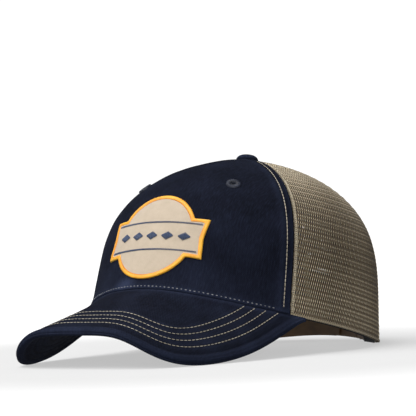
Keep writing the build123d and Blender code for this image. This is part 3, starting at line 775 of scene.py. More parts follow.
def near_eyelets(points):
    """Which places are cut away for an eyelet."""
    near = np.zeros(len(points), bool)
    for _, side in SIDES:
        centre = skin(side * EYELET_TURN, rise_at(side * EYELET_TURN, EYELET_HEIGHT))
        near |= np.linalg.norm(points - centre, axis=1) < EYELET_CUT
    return near


def lining_shape(u, v):
    """The stiffened lining behind the front panel."""
    start = rise_at(np.zeros_like(u), RIM_LIFT)
    rise = start + (LINING_TOP - start) * v
    turn = (front_seam(rise) - LINING_INSET) * (2 * u - 1)
    return wall(turn, rise, TWILL + GAP + np.zeros_like(u)), np.zeros_like(u)


# ---- the knitted mesh ---------------------------------------------------------------------
def panel_tables(middle, first, last):
    """Length tables that lay flat cloth on the crown about a panel's middle line."""
    rises = np.linspace(0.0, float(rise_at_radius(np.array(middle), PANEL_TOP_RADIUS)), 240)
    turns = np.linspace(first, last, 240)
    out = run_lengths(skin(turns, 0.0))
    return rises, run_lengths(skin(middle, rises)), turns, out - np.interp(middle, turns, out)


def net_of_cells(columns, rows, wale, course, hole_width, hole_height, strand, point):
    """A flat knitted net: six-sided cells in staggered rows, each with its upright hole.

    The flat net is in millimetres and 1 thick. point is how far each cell's ends are drawn out,
    strand the first inset of a hole. The places of the strands' ridges come back with it.
    """
    bm = bmesh.new()
    bmesh.ops.create_grid(bm, x_segments=2 * columns, y_segments=rows, size=0.5)
    bm.verts.ensure_lookup_table()
    span = 2 * columns + 1
    inside = []
    for edge in bm.edges:
        low, high = sorted(vert.index for vert in edge.verts)
        if high - low == span:
            column, row = low % span, low // span
            if column % 2 == (1 if row % 2 == 0 else 0) and 0 < column < span - 1:
                inside.append(edge)
    for vert in bm.verts:
        column, row = vert.index % span, vert.index // span
        below_is_inside = column % 2 == (1 if (row - 1) % 2 == 0 else 0)
        shift = point if below_is_inside else -point
        vert.co = ((column / 2 - columns / 2) * wale, row * course + shift, 0.0)
    bmesh.ops.dissolve_edges(bm, edges=inside, use_verts=False)
    ridge = {(round(vert.co.x, 3), round(vert.co.y, 3)) for vert in bm.verts}
    holes = bm.faces[:]
    bmesh.ops.inset_individual(bm, faces=holes, thickness=strand, use_even_offset=True)
    for face in holes:
        centre = face.calc_center_median()
        for vert in face.verts:
            across = vert.co.x - centre.x
            along = vert.co.y - centre.y
            tip = abs(across) < 0.05 * wale
            vert.co.x = centre.x if tip else centre.x + math.copysign(hole_width / 2, across)
            vert.co.y = centre.y + math.copysign(hole_height / 2 * (1.0 if tip else 0.62), along)
    bmesh.ops.delete(bm, geom=holes, context="FACES_ONLY")
    bmesh.ops.solidify(bm, geom=bm.faces[:], thickness=1.0)
    return bm, ridge


def mesh_panel(name, middle, first, last, sizes, node, drop=None):
    """One knitted panel between two seams, each given as a turn at a rise."""
    wale, course, hole_width, hole_height = (
        value / MM for value in (sizes.wale, sizes.course, sizes.hole_width, sizes.hole_height)
    )
    rises, up, turns, out = panel_tables(middle, float(first(0.0)), float(last(0.0)))
    columns = int(2 * max(-out[0], out[-1]) / wale) + 2
    rows = int(up[-1] / course) + 1
    bm, ridge = net_of_cells(
        columns, rows, wale, course, hole_width, hole_height, strand=wale * 0.22, point=0.3
    )
    flat = np.array([vert.co[:] for vert in bm.verts])
    is_ridge = np.array([(round(x, 3), round(y, 3)) in ridge for x, y, _ in flat.tolist()])
    back = flat[:, 2] < -0.5
    # A strand is thick along its ridge and thin beside its holes.
    depth = np.where(back, np.where(is_ridge, MESH, MESH - 0.18), np.where(is_ridge, -0.12, 0.36))
    rise = np.interp(flat[:, 1], up, rises)
    share = spread_at(middle, rise) / spread_at(middle, 0.0)
    turn = np.clip(np.interp(flat[:, 0] / share, out, turns), first(rise), last(rise))
    edge = across_crown(np.minimum(turn - first(rise), last(rise) - turn), turn, rise)
    # The courses swell and sink in turn, and the panel dips into its seams.
    swell = 0.5 + 0.5 * np.cos(math.pi * flat[:, 1] / course)
    points = wall(turn, rise, depth + 0.32 * (1 - swell) * smooth_step(edge, 0.5, 3.0))
    points = points - skin_normal(turn, rise) * (0.45 * (1 - smooth_step(edge, 0.0, 1.6)))[:, None]
    # Strands get a painted highlight near the rim and the front seam, and painted shade towards the back and
    # in the sunk courses; along each ridge they are painted pale and beside the holes dark, painted highlight
    # and shade of their roundness.
    front_edge = across_crown(np.abs(turn) - front_seam(rise), turn, rise)
    painted_highlight = 0.45 * (1 - smooth_step(flat[:, 1], 10.0, 50.0)) + 0.4 * (1 - smooth_step(front_edge, 4.0, 34.0))
    painted_shade = 0.7 * smooth_step(front_edge, 44.0, 92.0) + 0.25 * (1 - swell)
    lay(bm, points, np.where(is_ridge, 0.95 + painted_highlight - painted_shade, -0.1), flat[:, :2], drop)
    bmesh.ops.delete(bm, geom=[face for face in bm.faces if face.calc_area() < 1e-9], context="FACES")
    bmesh.ops.remove_doubles(bm, verts=bm.verts, dist=0.000002)
    return new_piece(name, bm, "knitted_khaki_mesh", [node])


def in_opening(points, outset=1.5):
    """Which places are within the rear opening, or that close to its edge."""
    arch = np.hypot(points[:, 0], points[:, 2] - OPENING_STRAIGHT) - OPENING
    legs = np.abs(points[:, 0]) - OPENING
    distance = np.where(points[:, 2] > OPENING_STRAIGHT, arch, legs)
    return (distance < outset) & (points[:, 1] > 0)


# ---- hem, tapes, sweatband and binding ----------------------------------------------------
def rim_fold_shape(side):
    """The mesh folded under at the rim, from its outer face round to the inside."""
    radius = (MESH + HEM + 2 * GAP) / 2

    def shape(u, v):
        turn = FRONT_SEAM + 0.1 + (HEM_END + 2.0 - FRONT_SEAM) * u
        fold = np.clip((v - 0.28) / 0.34, 0, 1) * math.pi
        outer = np.clip(1 - v / 0.28, 0, 1) * 0.5
        inner = np.clip((v - 0.62) / 0.38, 0, 1) * 4.0
        depth = radius - (radius + 0.18) * np.cos(fold)
        # The strands that show along the fold, as far apart as the net's.
        strand = np.sin(np.radians(turn) * RIM_RADIUS / 1.62 * 2 * math.pi)
        points = wall(side * turn, rise_at(turn, outer + inner + 1.0), depth - 0.06 * strand)
        points[:, 2] -= radius * 0.35 * np.sin(fold)
        # The fold is painted pale all along, a painted highlight on a fold that faces down into shade; the
        # strands add pale and dark stripes.
        return points, 1.3 + 0.4 * strand

    return shape


def hem_shape(side):
    """The folded hem inside the rim."""

    def shape(u, v):
        turn = FRONT_SEAM + 1.1 + (HEM_END - FRONT_SEAM - 1.1) * u
        rise = rise_at(turn, RIM_LIFT + (HEM_HEIGHT - RIM_LIFT) * v)
        wave = 0.06 * np.sin(np.radians(turn) * RIM_RADIUS / 2.4)
        return wall(side * turn, rise, MESH + GAP + wave), 0.2 + 0.3 * np.sin(v * 30) ** 2

    return shape


def tape_shape(seam, layer, foot=RIM_LIFT, over_hem=True):
    """A tape down the inside of a seam, stepping over the hem low down."""
    thick = MESH + GAP + HEM + GAP

    def shape(u, v):
        top = rise_at_radius(seam(np.ones_like(u)), TAPE_TOP_RADIUS)
        start = rise_at(seam(np.zeros_like(u)), foot)
        rise = start + (top - start) * v
        middle = seam(rise)
        turn = middle + np.degrees(TAPE_HALF_WIDTH / spread_at(middle, rise)) * (2 * u - 1)
        depth = layer + np.zeros_like(u)
        if over_hem:
            step = smooth_step(height_at(turn, rise), HEM_HEIGHT + 1, HEM_HEIGHT + 11)
            depth = thick + (layer - thick) * step
        return wall(turn, rise, depth - 0.06 * (1 - (2 * u - 1) ** 2)), 0.3

    return shape


def band_depth(turn):
    """How deep the sweatband lies: over the hem, and deeper over the strap's sewn-in ends."""
    plain = MESH + GAP + HEM + TAPE + 2 * GAP
    start = HINGE_TURN - math.degrees(TAB_LENGTH / BACK)
    return plain + (TAB_DEPTH + STRAP + GAP - plain) * smooth_step(np.abs(turn), start - 12, start - 1)


def sweatband_shape(u, v):
    turn = (HEM_END - 1.0) * (2 * u - 1)
    wave = 0.7 * np.sin(np.radians(turn) * 4.3 + 0.6) + 0.5 * np.sin(np.radians(turn) * 7.7)
    top = SWEATBAND_HEIGHT - 0.8 + wave * 0.4
    low = RIM_LIFT + 0.6
    rise = rise_at(turn, low + (top - low) * v)
    depth = band_depth(turn) + 0.3
    depth = depth + 0.35 * hump(v, 0.93, 0.06) + 0.3 * hump(v, 0.06, 0.05)
    puff = ripple(wall(turn, rise), 12.0, 2.0) * 0.12
    return wall(turn, rise, depth + puff), 0.25 * hump(v, 1.0, 0.12) + 0.1


def arch_point(along, outset):
    """X and Z on the rear opening's outline, from its left foot round to its right."""
    foot = around(180 - math.degrees(math.asin(OPENING / HALF_WIDTH)), RIM_RISE) + RIM_LIFT
    leg = OPENING_STRAIGHT - foot
    length = 2 * leg + math.pi * OPENING
    place = along * length
    angle = np.clip((place - leg) / OPENING, 0, math.pi)
    x = (OPENING + outset) * np.cos(angle)
    z = OPENING_STRAIGHT + (OPENING + outset) * np.sin(angle)
    z = np.where(place < leg, foot + place, z)
    z = np.where(place > length - leg, foot + length - place, z)
    return x, z


def back_wall(x, z, depth):
    """The place on the crown's back wall seen square from behind at x and z."""
    turn = 180 - np.degrees(np.arcsin(np.clip(x / HALF_WIDTH, -1, 1)))
    rise = np.full_like(turn, 0.3)
    for _ in range(24):
        rise = rise_at(turn, np.maximum(z - around(turn, RIM_RISE), 0.01))
        sine = np.sin(np.radians(turn))
        flat = np.abs(sine) < 1e-6
        spread = np.where(flat, 1.0, skin(turn, rise)[..., 0] / np.where(flat, 1.0, HALF_WIDTH * sine))
        turn = 180 - np.degrees(np.arcsin(np.clip(x / spread / HALF_WIDTH, -1, 1)))
    return wall(turn, rise, depth), skin_normal(turn, rise)


def binding_shape(u, v):
    """The tape round the opening: its outer leg, the roll over the edge and its inner leg."""
    leg = 0.36
    out = np.where(v < leg, 1 - v / leg, np.where(v > 1 - leg, (v - 1 + leg) / leg, 0.0))
    roll = np.clip((v - leg) / (1 - 2 * leg), 0, 1) * math.pi
    half = (MESH + 2 * GAP + 2 * BINDING) / 2
    outset = -GAP - BINDING * 0.6 * np.sin(roll) + BINDING_WIDTH * out
    middle = MESH / 2
    depth = middle - half * np.cos(roll)
    x, z = arch_point(u, outset)
    points, normals = back_wall(x, z, depth)
    row = hump(out, 0.78, 0.12) * np.where(v < 0.5, 1.0, -1.0) * 0.25
    pucker = 0.1 * np.sin(u * 134 / 2.6 * math.pi * 2) * hump(out, 0.8, 0.3)
    points = points - normals * (row + pucker)[:, None]
    return points, 0.5 * hump(out, 0.0, 0.25) + 0.2


def strap_fold_shape(side):
    """The thin strip of the strap that bends, between its sewn-in end and its free half."""

    def shape(u, v):
        turn = HINGE_TURN + math.degrees(STRAP_FOLD / 2 / BACK) * (2 * u - 1)
        rise = rise_at(turn, STRAP_LIFT + 0.4 + (STRAP_WIDTH - 0.8) * v)
        return wall(side * turn, rise, TAB_DEPTH + 0.3), np.zeros_like(u)

    return shape


# ---- the visor ----------------------------------------------------------------------------
def visor_thin(width):
    """The visor's thickness where it is that wide from root to edge: it thins at its ends."""
    return VISOR_THICKNESS * (0.25 + 0.75 * smooth_step(width, 0.5, 14.0))


def visor_swing(u):
    """Spreads the grid's columns evenly along the visor's outer edge."""
    table = np.linspace(-VISOR_END, VISOR_END, 721)
    length = run_lengths(visor_skin(table, 1.0))
    return np.interp(u * length[-1], length, table)


def visor_cloth_shape(top):
    """The top or under cloth: from the crown to the edge, then half way round the edge's roll."""
    flat = 0.93
    away = -1.0 if top else 1.0

    def shape(u, v):
        swing = visor_swing(u)
        width = visor_width(swing)
        thin = visor_thin(width)
        radius = np.minimum(thin / 2, width * 0.4)
        start = -0.9 / np.maximum(width, 3.0)
        out = start + (1 - radius / width - start) * np.clip(v / flat, 0, 1)
        angle = np.clip((v - flat) / (1 - flat), 0, 1) * math.pi / 2
        outward, down = visor_frame(swing, out)
        base = visor_skin(swing, out)
        drop = thin / 2 - radius * np.cos(angle) * (thin / 2 / radius)
        if not top:
            drop = thin - drop
        points = base + down * drop[:, None] + outward * (radius * np.sin(angle))[:, None]
        # Soft waves, the quilting between the rows of stitches and the rolled edge stand proud.
        inset = (1 - out) * width * visor_slant(swing)
        lift = ripple(base, 20.0, 11.0) * 0.22 + ripple(base, 6.0, 4.0) * 0.06
        lift = lift * smooth_step(inset, 2.0, 9.0)
        lift = lift + 0.25 * hump(inset, 3.2, 2.6) - 0.3 * hump(inset, 5.6, 1.2)
        wear = 0.55 * (1 - smooth_step(inset, 0.6, 2.6)) + 0.3 * hump(inset, 3.4, 2.4)
        for row in VISOR_ROWS:
            pucker = 0.05 * np.sin(swing * 3.0 + row * 2.0)
            lift = lift + pucker * hump(inset, row, 3.5) - 0.28 * hump(inset, row, 1.5)
            wear = wear + 0.2 * hump(inset, row + 1.9, 1.3) + 0.14 * hump(inset, row - 1.9, 1.3)
        lift = lift * smooth_step(width, 4.0, 20.0) * (angle == 0)
        wear = wear + 0.22 * np.clip(ripple(base, 16.0, 21.0) + 0.15, 0, 1)
        wear = wear + 0.35 * (1 - smooth_step(out * width, 0.5, 4.0))
        return points + down * (away * lift)[:, None], np.clip(wear, 0, 1)

    return shape


def visor_row_path(inset, top=True):
    """The path of a row of stitches that far in from the visor's edge."""
    swing = visor_swing(np.linspace(0, 1, 500))
    width = visor_width(swing)
    out = 1 - inset / (width * visor_slant(swing))
    keep = out * width > 0.6
    swing, out, width = swing[keep], out[keep], width[keep]
    points = visor_skin(swing, out)
    _, down = visor_frame(swing, out)
    away = -down if top else down
    if not top:
        points = points + down * visor_thin(width)[:, None]
    return points - away * 0.12, away


# ---- button, eyelets and badge -------------------------------------------------------------
def button_shape(u, v):
    """A domed button, its cloth gathered at the foot."""
    angle = 2 * math.pi * u
    climb = v * math.pi / 2 * 1.12 - 0.19
    across = np.where(v > 0.999, 0.0, BUTTON_RADIUS * np.cos(climb) ** 0.75)
    height = GAP + (BUTTON_HEIGHT - GAP) * (np.sin(np.maximum(climb, -0.19)) * 0.84 + 0.16)
    gather = 0.16 * np.sin(angle * 11 + 1.3 * np.sin(angle * 3)) * hump(v, 0.1, 0.4)
    across = np.maximum(across + gather, 0.0)
    points = np.stack([across * np.cos(angle), across * np.sin(angle), np.maximum(height, GAP)], -1)
    return points + np.array([0.0, TOP_Y, HEIGHT]), 0.45 * hump(v, 0.42, 0.3) + 0.1


def plane_at(turn, rise):
    """A frame on the crown's face: centre, across to the wearer's left, up, and outwards."""
    centre = skin(turn, rise)
    normal = skin_normal(turn, rise)
    across = unit(np.cross(np.array([0.0, 0.0, 1.0]), normal))
    up = np.cross(normal, across)
    return centre, across, up, normal


def eyelet_shape(side):
    """The ring of an eyelet, from over its outer edge down into its hole."""
    centre, across, up, normal = plane_at(side * EYELET_TURN, rise_at(side * EYELET_TURN, EYELET_HEIGHT))

    def shape(u, v):
        angle = 2 * math.pi * u
        section = v * math.pi * 1.35 - 0.12
        radius = 3.1 + 1.5 * np.cos(section)
        radius = np.where(section > math.pi * 0.92, np.maximum(radius, 1.55), radius)
        ribs = np.sin(angle * EYELET_STITCHES)
        proud = 0.1 + 0.85 * np.sin(np.minimum(section, math.pi)) + 0.05 * ribs
        proud = proud - 2.2 * smooth_step(section, math.pi * 0.92, math.pi * 1.23)
        spot = across * (radius * np.cos(angle))[:, None] + up * (radius * np.sin(angle))[:, None]
        return centre + spot + normal * proud[:, None], 0.5 + 0.5 * ribs

    return shape


def badge_outline(angle, inset=0.0):
    """How far the badge reaches from its middle: a disc with a banner across it."""
    cosine, sine = np.abs(np.cos(angle)), np.abs(np.sin(angle))
    wide = BANNER_HALF_WIDTH - inset
    high = BANNER_HALF_HEIGHT - inset
    top = high / np.maximum(sine - BANNER_FLARE * cosine / wide, 1e-6)
    end = (wide - BANNER_FLARE) / np.maximum(cosine - BANNER_FLARE * sine / (high + BANNER_FLARE), 1e-6)
    return np.maximum(PATCH_RADIUS - inset, np.minimum(top, end))


def badge_angle(u):
    """Spreads a grid's columns along the badge's outline, with one on each corner."""
    corner = math.atan2(BANNER_HALF_HEIGHT + BANNER_FLARE, BANNER_HALF_WIDTH)
    fine = np.linspace(0, 2 * math.pi, 1441)
    marks = [corner, math.pi - corner, math.pi + corner, 2 * math.pi - corner]
    fine = np.unique(np.concatenate([fine, marks]))
    reach = badge_outline(fine)
    length = run_lengths(np.stack([reach * np.cos(fine), reach * np.sin(fine)], -1))
    return np.interp(u * length[-1], length, fine), length[-1]


def on_front(across, up, proud=0.0):
    """The place on the crown's front at across and up from the badge's middle, square to it."""
    centre, axis, upward, _ = plane_at(0.0, rise_at(0.0, PATCH_HEIGHT))
    across = np.asarray(across, float)
    up = np.asarray(up, float)
    turn = np.degrees(np.arcsin(np.clip(across / HALF_WIDTH, -0.9, 0.9)))
    rise = rise_at(turn, PATCH_HEIGHT + up)
    for _ in range(12):
        here = skin(turn, rise) - centre
        x, y = here @ axis, here @ upward
        by_turn = (skin(turn + 0.05, rise) - skin(turn, rise)) @ axis / 0.05
        by_rise = (skin(turn, rise + 0.0005) - skin(turn, rise)) @ upward / 0.0005
        turn = turn + (across - x) / by_turn
        rise = np.clip(rise + (up - y) / by_rise, 0.0, 0.98)
    normal = skin_normal(turn, rise)
    return skin(turn, rise) + normal * np.asarray(proud, float)[..., None], normal


def badge_ground_shape(u, v):
    """The badge's cloth, a little uneven; beyond_badge() cuts it to its outline."""
    across = BANNER_HALF_WIDTH * (2 * u - 1)
    upward = PATCH_RADIUS * (2 * v - 1)
    points, normals = on_front(across, upward, 0.9 + np.zeros_like(u))
    return points + normals * (ripple(points, 9.0, 31.0) * 0.12)[:, None], np.zeros_like(u)


def beyond_badge(points):
    """Which places lie past the middle of the badge's border."""
    centre, across, up, _ = plane_at(0.0, rise_at(0.0, PATCH_HEIGHT))
    x, y = (points - centre) @ across, (points - centre) @ up
    return np.hypot(x, y) > badge_outline(np.arctan2(y, x), PATCH_BORDER_WIDTH / 2)


def badge_border_shape(u, v):
    """The badge's border, a half round from its outer edge to its inner one."""
    angle, _ = badge_angle(u)
    section = (1 - v) * math.pi
    inset = PATCH_BORDER_WIDTH / 2 * (1 - np.cos(section))
    reach = badge_outline(angle, inset)
    proud = 0.15 + 1.2 * np.sin(section) ** 0.7
    points, _ = on_front(reach * np.cos(angle), reach * np.sin(angle), proud)
    return points, 1 - inset / PATCH_BORDER_WIDTH


# ---- what a user can change -----------------------------------------------------------------
def length_property(name, description, millimetres):
    return FloatProperty(
        name=name, description=description, default=millimetres * MM, min=0.0001, unit="LENGTH"
    )


def colour_property(name, description, hex_colour):
    return FloatVectorProperty(
        name=name, description=description, default=linear(hex_colour), size=4, subtype="COLOR"
    )


class CapSizes(bpy.types.PropertyGroup):
    """The sizes of the knit and the stitches"""

    wale: length_property("Wale spacing", "Width of one knitted cell", 1.62)
    course: length_property("Course spacing", "Height of one row of cells", 2.6)
    hole_width: length_property("Hole width", "Width of a hole in the mesh", 1.08)
    hole_height: length_property("Hole height", "Height of a hole in the mesh", 2.0)
    stitch: length_property("Stitch length", "Spacing of the topstitching", 2.6)


class CapColours(bpy.types.PropertyGroup):
    """The colours of the cloths, threads and strap"""

    navy: colour_property("Navy", "The twill", "#0b0c15")
    washed: colour_property("Washed navy", "The twill where it has rubbed", "#2c3348")
    khaki: colour_property("Khaki", "The knitted mesh", "#7c6a4e")
    tan: colour_property("Tan thread", "The topstitching", "#d8d0bc")
    border: colour_property("Border thread", "The badge's border", "#ffc63c")
    strap: colour_property("Strap", "The snap strap", "#664a29")


# ---- operators -------------------------------------------------------------------------------
class CapFront(bpy.types.Operator):
    """Make the twill front panel and the lining behind it"""

    bl_idname = "cap.front"
    bl_label = "Front Panel"

    def execute(self, context):
        cloth(
            "front_twill", 168, 110, front_shape, TWILL, "washed_navy_twill", "navy_twill", ["front_panel"],
            drop=near_eyelets,
        )
        cloth(
            "front_lining", 60, 50, lining_shape, BUCKRAM, "stiffened_lining", "buckram", ["front_buckram"],
            drop=near_eyelets,
        )
        return {"FINISHED"}


class CapMesh(bpy.types.Operator):
    """Knit the four mesh panels"""

    bl_idname = "cap.mesh"
    bl_label = "Mesh Panels"

    def execute(self, context):
        panels = (
            ("side_left", 91.0, lambda rise: front_seam(rise) + 0.1, lambda rise: SIDE_SEAM - 0.1, None),
            ("side_right", -91.0, lambda rise: 0.1 - SIDE_SEAM, lambda rise: -front_seam(rise) - 0.1, None),
            ("back_left", 150.0, lambda rise: SIDE_SEAM + 0.1, lambda rise: 179.9, in_opening),
            ("back_right", -150.0, lambda rise: -179.9, lambda rise: -SIDE_SEAM - 0.1, in_opening),
        )
        for word, middle, first, last, drop in panels:
            node = word.replace("_", "_mesh_")
            mesh_panel(f"knit_{word}", middle, first, last, context.scene.cap_sizes, node, drop)
        return {"FINISHED"}


class CapHems(bpy.types.Operator):
    """Make the folded hems, the seam tapes, the sweatband and the opening's binding"""

    bl_idname = "cap.hems"
    bl_label = "Hems and Tapes"

    def execute(self, context):
        knit = ("knitted_khaki_mesh", "khaki_mesh")
        for word, side in SIDES:
            cloth(f"rim_fold_{word}", 260, 14, rim_fold_shape(side), 0.5, *knit, flip=side < 0)
            cloth(f"hem_{word}", 200, 10, hem_shape(side), HEM, *knit, [f"rim_hem_{word}"], flip=side < 0)
        front = TWILL + BUCKRAM + 2 * GAP
        foot = OPENING_STRAIGHT + OPENING + BINDING_WIDTH + 1.0
        tapes = (
            ("front_left", 70, tape_shape(front_seam, front)),
            ("front_right", 70, tape_shape(lambda rise: -front_seam(rise), front)),
            ("side_left", 70, tape_shape(lambda rise: SIDE_SEAM + 0 * rise, MESH + GAP)),
            ("side_right", 70, tape_shape(lambda rise: -SIDE_SEAM + 0 * rise, MESH + GAP)),
            ("back", 30, tape_shape(lambda rise: 180 + 0 * rise, MESH + GAP, foot, False)),
        )
        for word, rows, shape in tapes:
            nodes = [f"seam_tape_{word}"]
            cloth(f"tape_{word}", 8, rows, shape, TAPE, "navy_cotton_tape", "seam_tape", nodes)
        cloth(
            "sweatband_cloth", 240, 16, sweatband_shape, SWEATBAND, "brushed_sweatband_twill",
            "sweatband_cloth", ["sweatband"],
        )
        cloth(
            "opening_binding", 140, 26, binding_shape, BINDING * 0.7, "woven_khaki_tape", "khaki_binding",
            ["arch_binding"],
        )
        return {"FINISHED"}


class CapSeams(bpy.types.Operator):
    """Make the raised seams between the crown's panels"""

    bl_idname = "cap.seams"
    bl_label = "Seam Ridges"

    def execute(self, context):
        def rises(turn, start, count):
            """Rises from a start to where the raised seam stops at the top."""
            return np.linspace(start, float(rise_at_radius(np.array(turn), SEAM_TOP_RADIUS)), count)

        for word, side in SIDES:
            rise = rises(60.0, 0.0, 170)
            for offset, slant, end in ((0.45, 0.55, "a"), (1.15, -0.55, "b")):
                row = wall_path(side * (front_seam(rise) + offset), rise, 0.25)
                stitching(
                    f"front_seam_loops_{word}_{end}", [row], "twisted_khaki_yarn", "khaki_mesh",
                    pitch=1.35, length=2.0, width=0.66, height=0.9, slant=slant,
                )
            rise = rises(120.0, 0.0, 150)
            for offset, end in ((-0.42, "a"), (0.42, "b")):
                seam_roll(f"side_seam_roll_{word}_{end}", *wall_path(side * (SIDE_SEAM + offset), rise, 0.25))
        rise = rises(180.0, float(rise_at(180.0, OPENING_STRAIGHT + OPENING + 1.5)), 90)
        for offset, end in ((-0.42, "a"), (0.42, "b")):
            seam_roll(f"back_seam_roll_{end}", *wall_path(180.0 + offset, rise, 0.25))
        return {"FINISHED"}


class CapVisor(bpy.types.Operator):
    """Make the visor's top and under cloths, with the rolled edge where they meet"""

    bl_idname = "cap.visor"
    bl_label = "Visor"

    def execute(self, context):
        for word, rows, top in (("top", 90, True), ("under", 70, False)):
            cloth(
                f"visor_{word}_twill", 200, rows, visor_cloth_shape(top), 0.7, "washed_navy_twill",
                "navy_twill", [f"visor_{word}_cover"], flip=top,
            )
        finish_node("visor_board", "moulded_visor_board")
        return {"FINISHED"}


class CapStitching(bpy.types.Operator):
    """Sew the rows of stitches on the visor, the front, the hems and the binding"""

    bl_idname = "cap.stitching"
    bl_label = "Stitching"

    def execute(self, context):
        pitch = context.scene.cap_sizes.stitch / MM
        tan, slate = "spun_tan_thread", "spun_slate_thread"
        lying = {"pitch": pitch, "length": pitch * 0.86}
        for word, thread, top in (("top", tan, True), ("under", "spun_navy_thread", False)):
            rows = [visor_row_path(inset, top) for inset in VISOR_ROWS]
            stitching(f"visor_{word}_stitches", rows, thread, "navy_twill", **lying)

        front_rows, hem_rows = [], []
        for _, side in SIDES:
            rise = np.linspace(0.02, float(rise_at(60.0, 101.0)), 200)
            inward = np.degrees(FRONT_ROW_IN / np.maximum(spread_at(front_seam(rise), rise), 12.0))
            front_rows.append(wall_path(side * (front_seam(rise) - inward), rise, -0.34 - 0.4 * rise**3))
            turn = np.linspace(FRONT_SEAM + 2.0, HEM_END - 0.5, 240)
            path, normals = wall_path(side * turn, rise_at(turn, HEM_HEIGHT - 1.6), MESH + GAP + HEM + 0.06)
            hem_rows.append((path, -normals))
        long = {"pitch": pitch, "length": pitch * 0.98, "width": 0.6}
        stitching("front_seam_stitches", front_rows, tan, "navy_twill", **long)

        turn = np.linspace(-59.0, 59.0, 300)
        rows = [wall_path(turn, rise_at(turn, 1.9), -0.5)]
        short = {"pitch": 2.7, "length": 1.3, "width": 0.6, "height": 0.5}
        stitching("visor_seam_stitches", rows, slate, "navy_twill", **short)
        stitching("hem_stitches", hem_rows, tan, "khaki_mesh", width=0.42, **lying)

        turn = np.linspace(2 - HEM_END, HEM_END - 2, 400)
        rows = []
        for height in (4.2, SWEATBAND_HEIGHT - 3.0):
            path, normals = wall_path(turn, rise_at(turn, height), band_depth(turn) + SWEATBAND + 0.35)
            rows.append((path, -normals))
        stitching("sweatband_stitches", rows, slate, "sweatband_cloth", pitch=3.0, length=2.5, width=0.42)

        x, z = arch_point(np.linspace(0.01, 0.99, 260), BINDING_WIDTH * 0.78)
        in_path, in_normals = back_wall(x, z, np.full_like(x, MESH + GAP + BINDING + 0.12))
        rows = [back_wall(x, z, np.full_like(x, -GAP - BINDING - 0.02)), (in_path, -in_normals)]
        stitching("binding_stitches", rows, tan, "khaki_binding", width=0.42, **lying)
        return {"FINISHED"}


class CapButton(bpy.types.Operator):
    """Make the covered button, and finish its steel parts"""

    bl_idname = "cap.button"
    bl_label = "Button"

    def execute(self, context):
        bm = laid_grid(66, 22, button_shape, closed=True)
        new_piece("covered_button", bm, "covered_button_twill", ["button_shell"])
        for node in ("button_plate", "button_rivet", "button_washer"):
            finish_node(node, "tin_plated_steel")
        return {"FINISHED"}


class CapEyelets(bpy.types.Operator):
    """Work the two eyelets: a ring of satin stitches round each hole"""

    bl_idname = "cap.eyelets"
    bl_label = "Eyelets"

    def execute(self, context):
        angle = np.linspace(0, 2 * math.pi, EYELET_STITCHES, endpoint=False)[:, None]
        for word, side in SIDES:
            turn = side * EYELET_TURN
            bm = laid_grid(96, 16, eyelet_shape(side), closed=True)
            centre, across, up, normal = plane_at(turn, rise_at(turn, EYELET_HEIGHT))
            outward = across * np.cos(angle) + up * np.sin(angle)
            along = outward + (up * np.cos(angle) - across * np.sin(angle)) * 0.16
            middles = centre + outward * 3.15 + normal * 0.72
            add_beads(bm, middles, along, np.broadcast_to(normal, middles.shape), 3.0, 0.44, 0.62)
            new_piece(f"worked_eyelet_{word}", bm, "rayon_eyelet_thread", [f"eyelet_{word}"])
        return {"FINISHED"}


class CapBadge(bpy.types.Operator):
    """Make the badge: its cloth, its overlocked border and its plain stitched figure"""

    bl_idname = "cap.badge"
    bl_label = "Badge"

    def execute(self, context):
        cloth(
            "badge_cloth", 116, 94, badge_ground_shape, 0.7, "bleached_patch_twill", "patch_twill",
            ["patch_ground"], drop=beyond_badge,
        )
        self.border()
        self.diamonds()
        rows = []
        for height in (9.0, -9.0):
            across = np.linspace(-31.0, 31.0, 120)
            rows.append(on_front(across, np.full_like(across, height), np.full_like(across, 1.0)))
        stitching(
            "badge_rules", rows, "rayon_motif_thread", "motif_thread", pitch=0.5, length=1.5, width=0.4,
            height=0.4, slant=2.2,
        )
        return {"FINISHED"}

    def border(self):
        """A roll of cloth with slanting overlock stitches all round it."""
        bm = laid_grid(360, 10, badge_border_shape, closed=True)
        spacing = 0.62
        count = int(badge_angle(np.zeros(1))[1] / spacing)
        place = np.arange(count) / count
        high = np.full(count, 0.95)
        ends = []
        for lead, inset in ((0.0, -0.05), (1.6, PATCH_BORDER_WIDTH + 0.05)):
            angle, _ = badge_angle((place + lead / count) % 1.0)
            reach = badge_outline(angle, inset)
            ends.append(on_front(reach * np.cos(angle), reach * np.sin(angle), high))
        (outer, normals), (inner, _) = ends
        middles, along = (outer + inner) / 2, outer - inner
        add_beads(bm, middles, along, normals, PATCH_BORDER_WIDTH + 0.5, spacing, 0.95, rings=6)
        new_piece("badge_border", bm, "rayon_border_thread", ["patch_border"])

    def diamonds(self):
        """Five diamonds of upright satin stitches in a row."""
        bm = bmesh.new()
        bm.verts.layers.float.new("wear")
        spacing, half_width, between = 0.4, 4.2, 11.0
        offsets = np.arange(-9, 10) * spacing
        across = (np.arange(-2, 3)[:, None] * between + offsets).ravel()
        tall = np.tile(1.35 * (half_width - np.abs(offsets)) + 0.5, 5)
        middles, normals = on_front(across, np.zeros_like(across), np.full_like(across, 1.15))
        _, _, up, _ = plane_at(0.0, rise_at(0.0, PATCH_HEIGHT))
        along = np.broadcast_to(up + np.array([0.08, 0, 0]), middles.shape)
        add_beads(bm, middles, along, normals, tall, 0.46, 0.5)
        new_piece("badge_figure", bm, "rayon_motif_thread", ["patch_motif"])


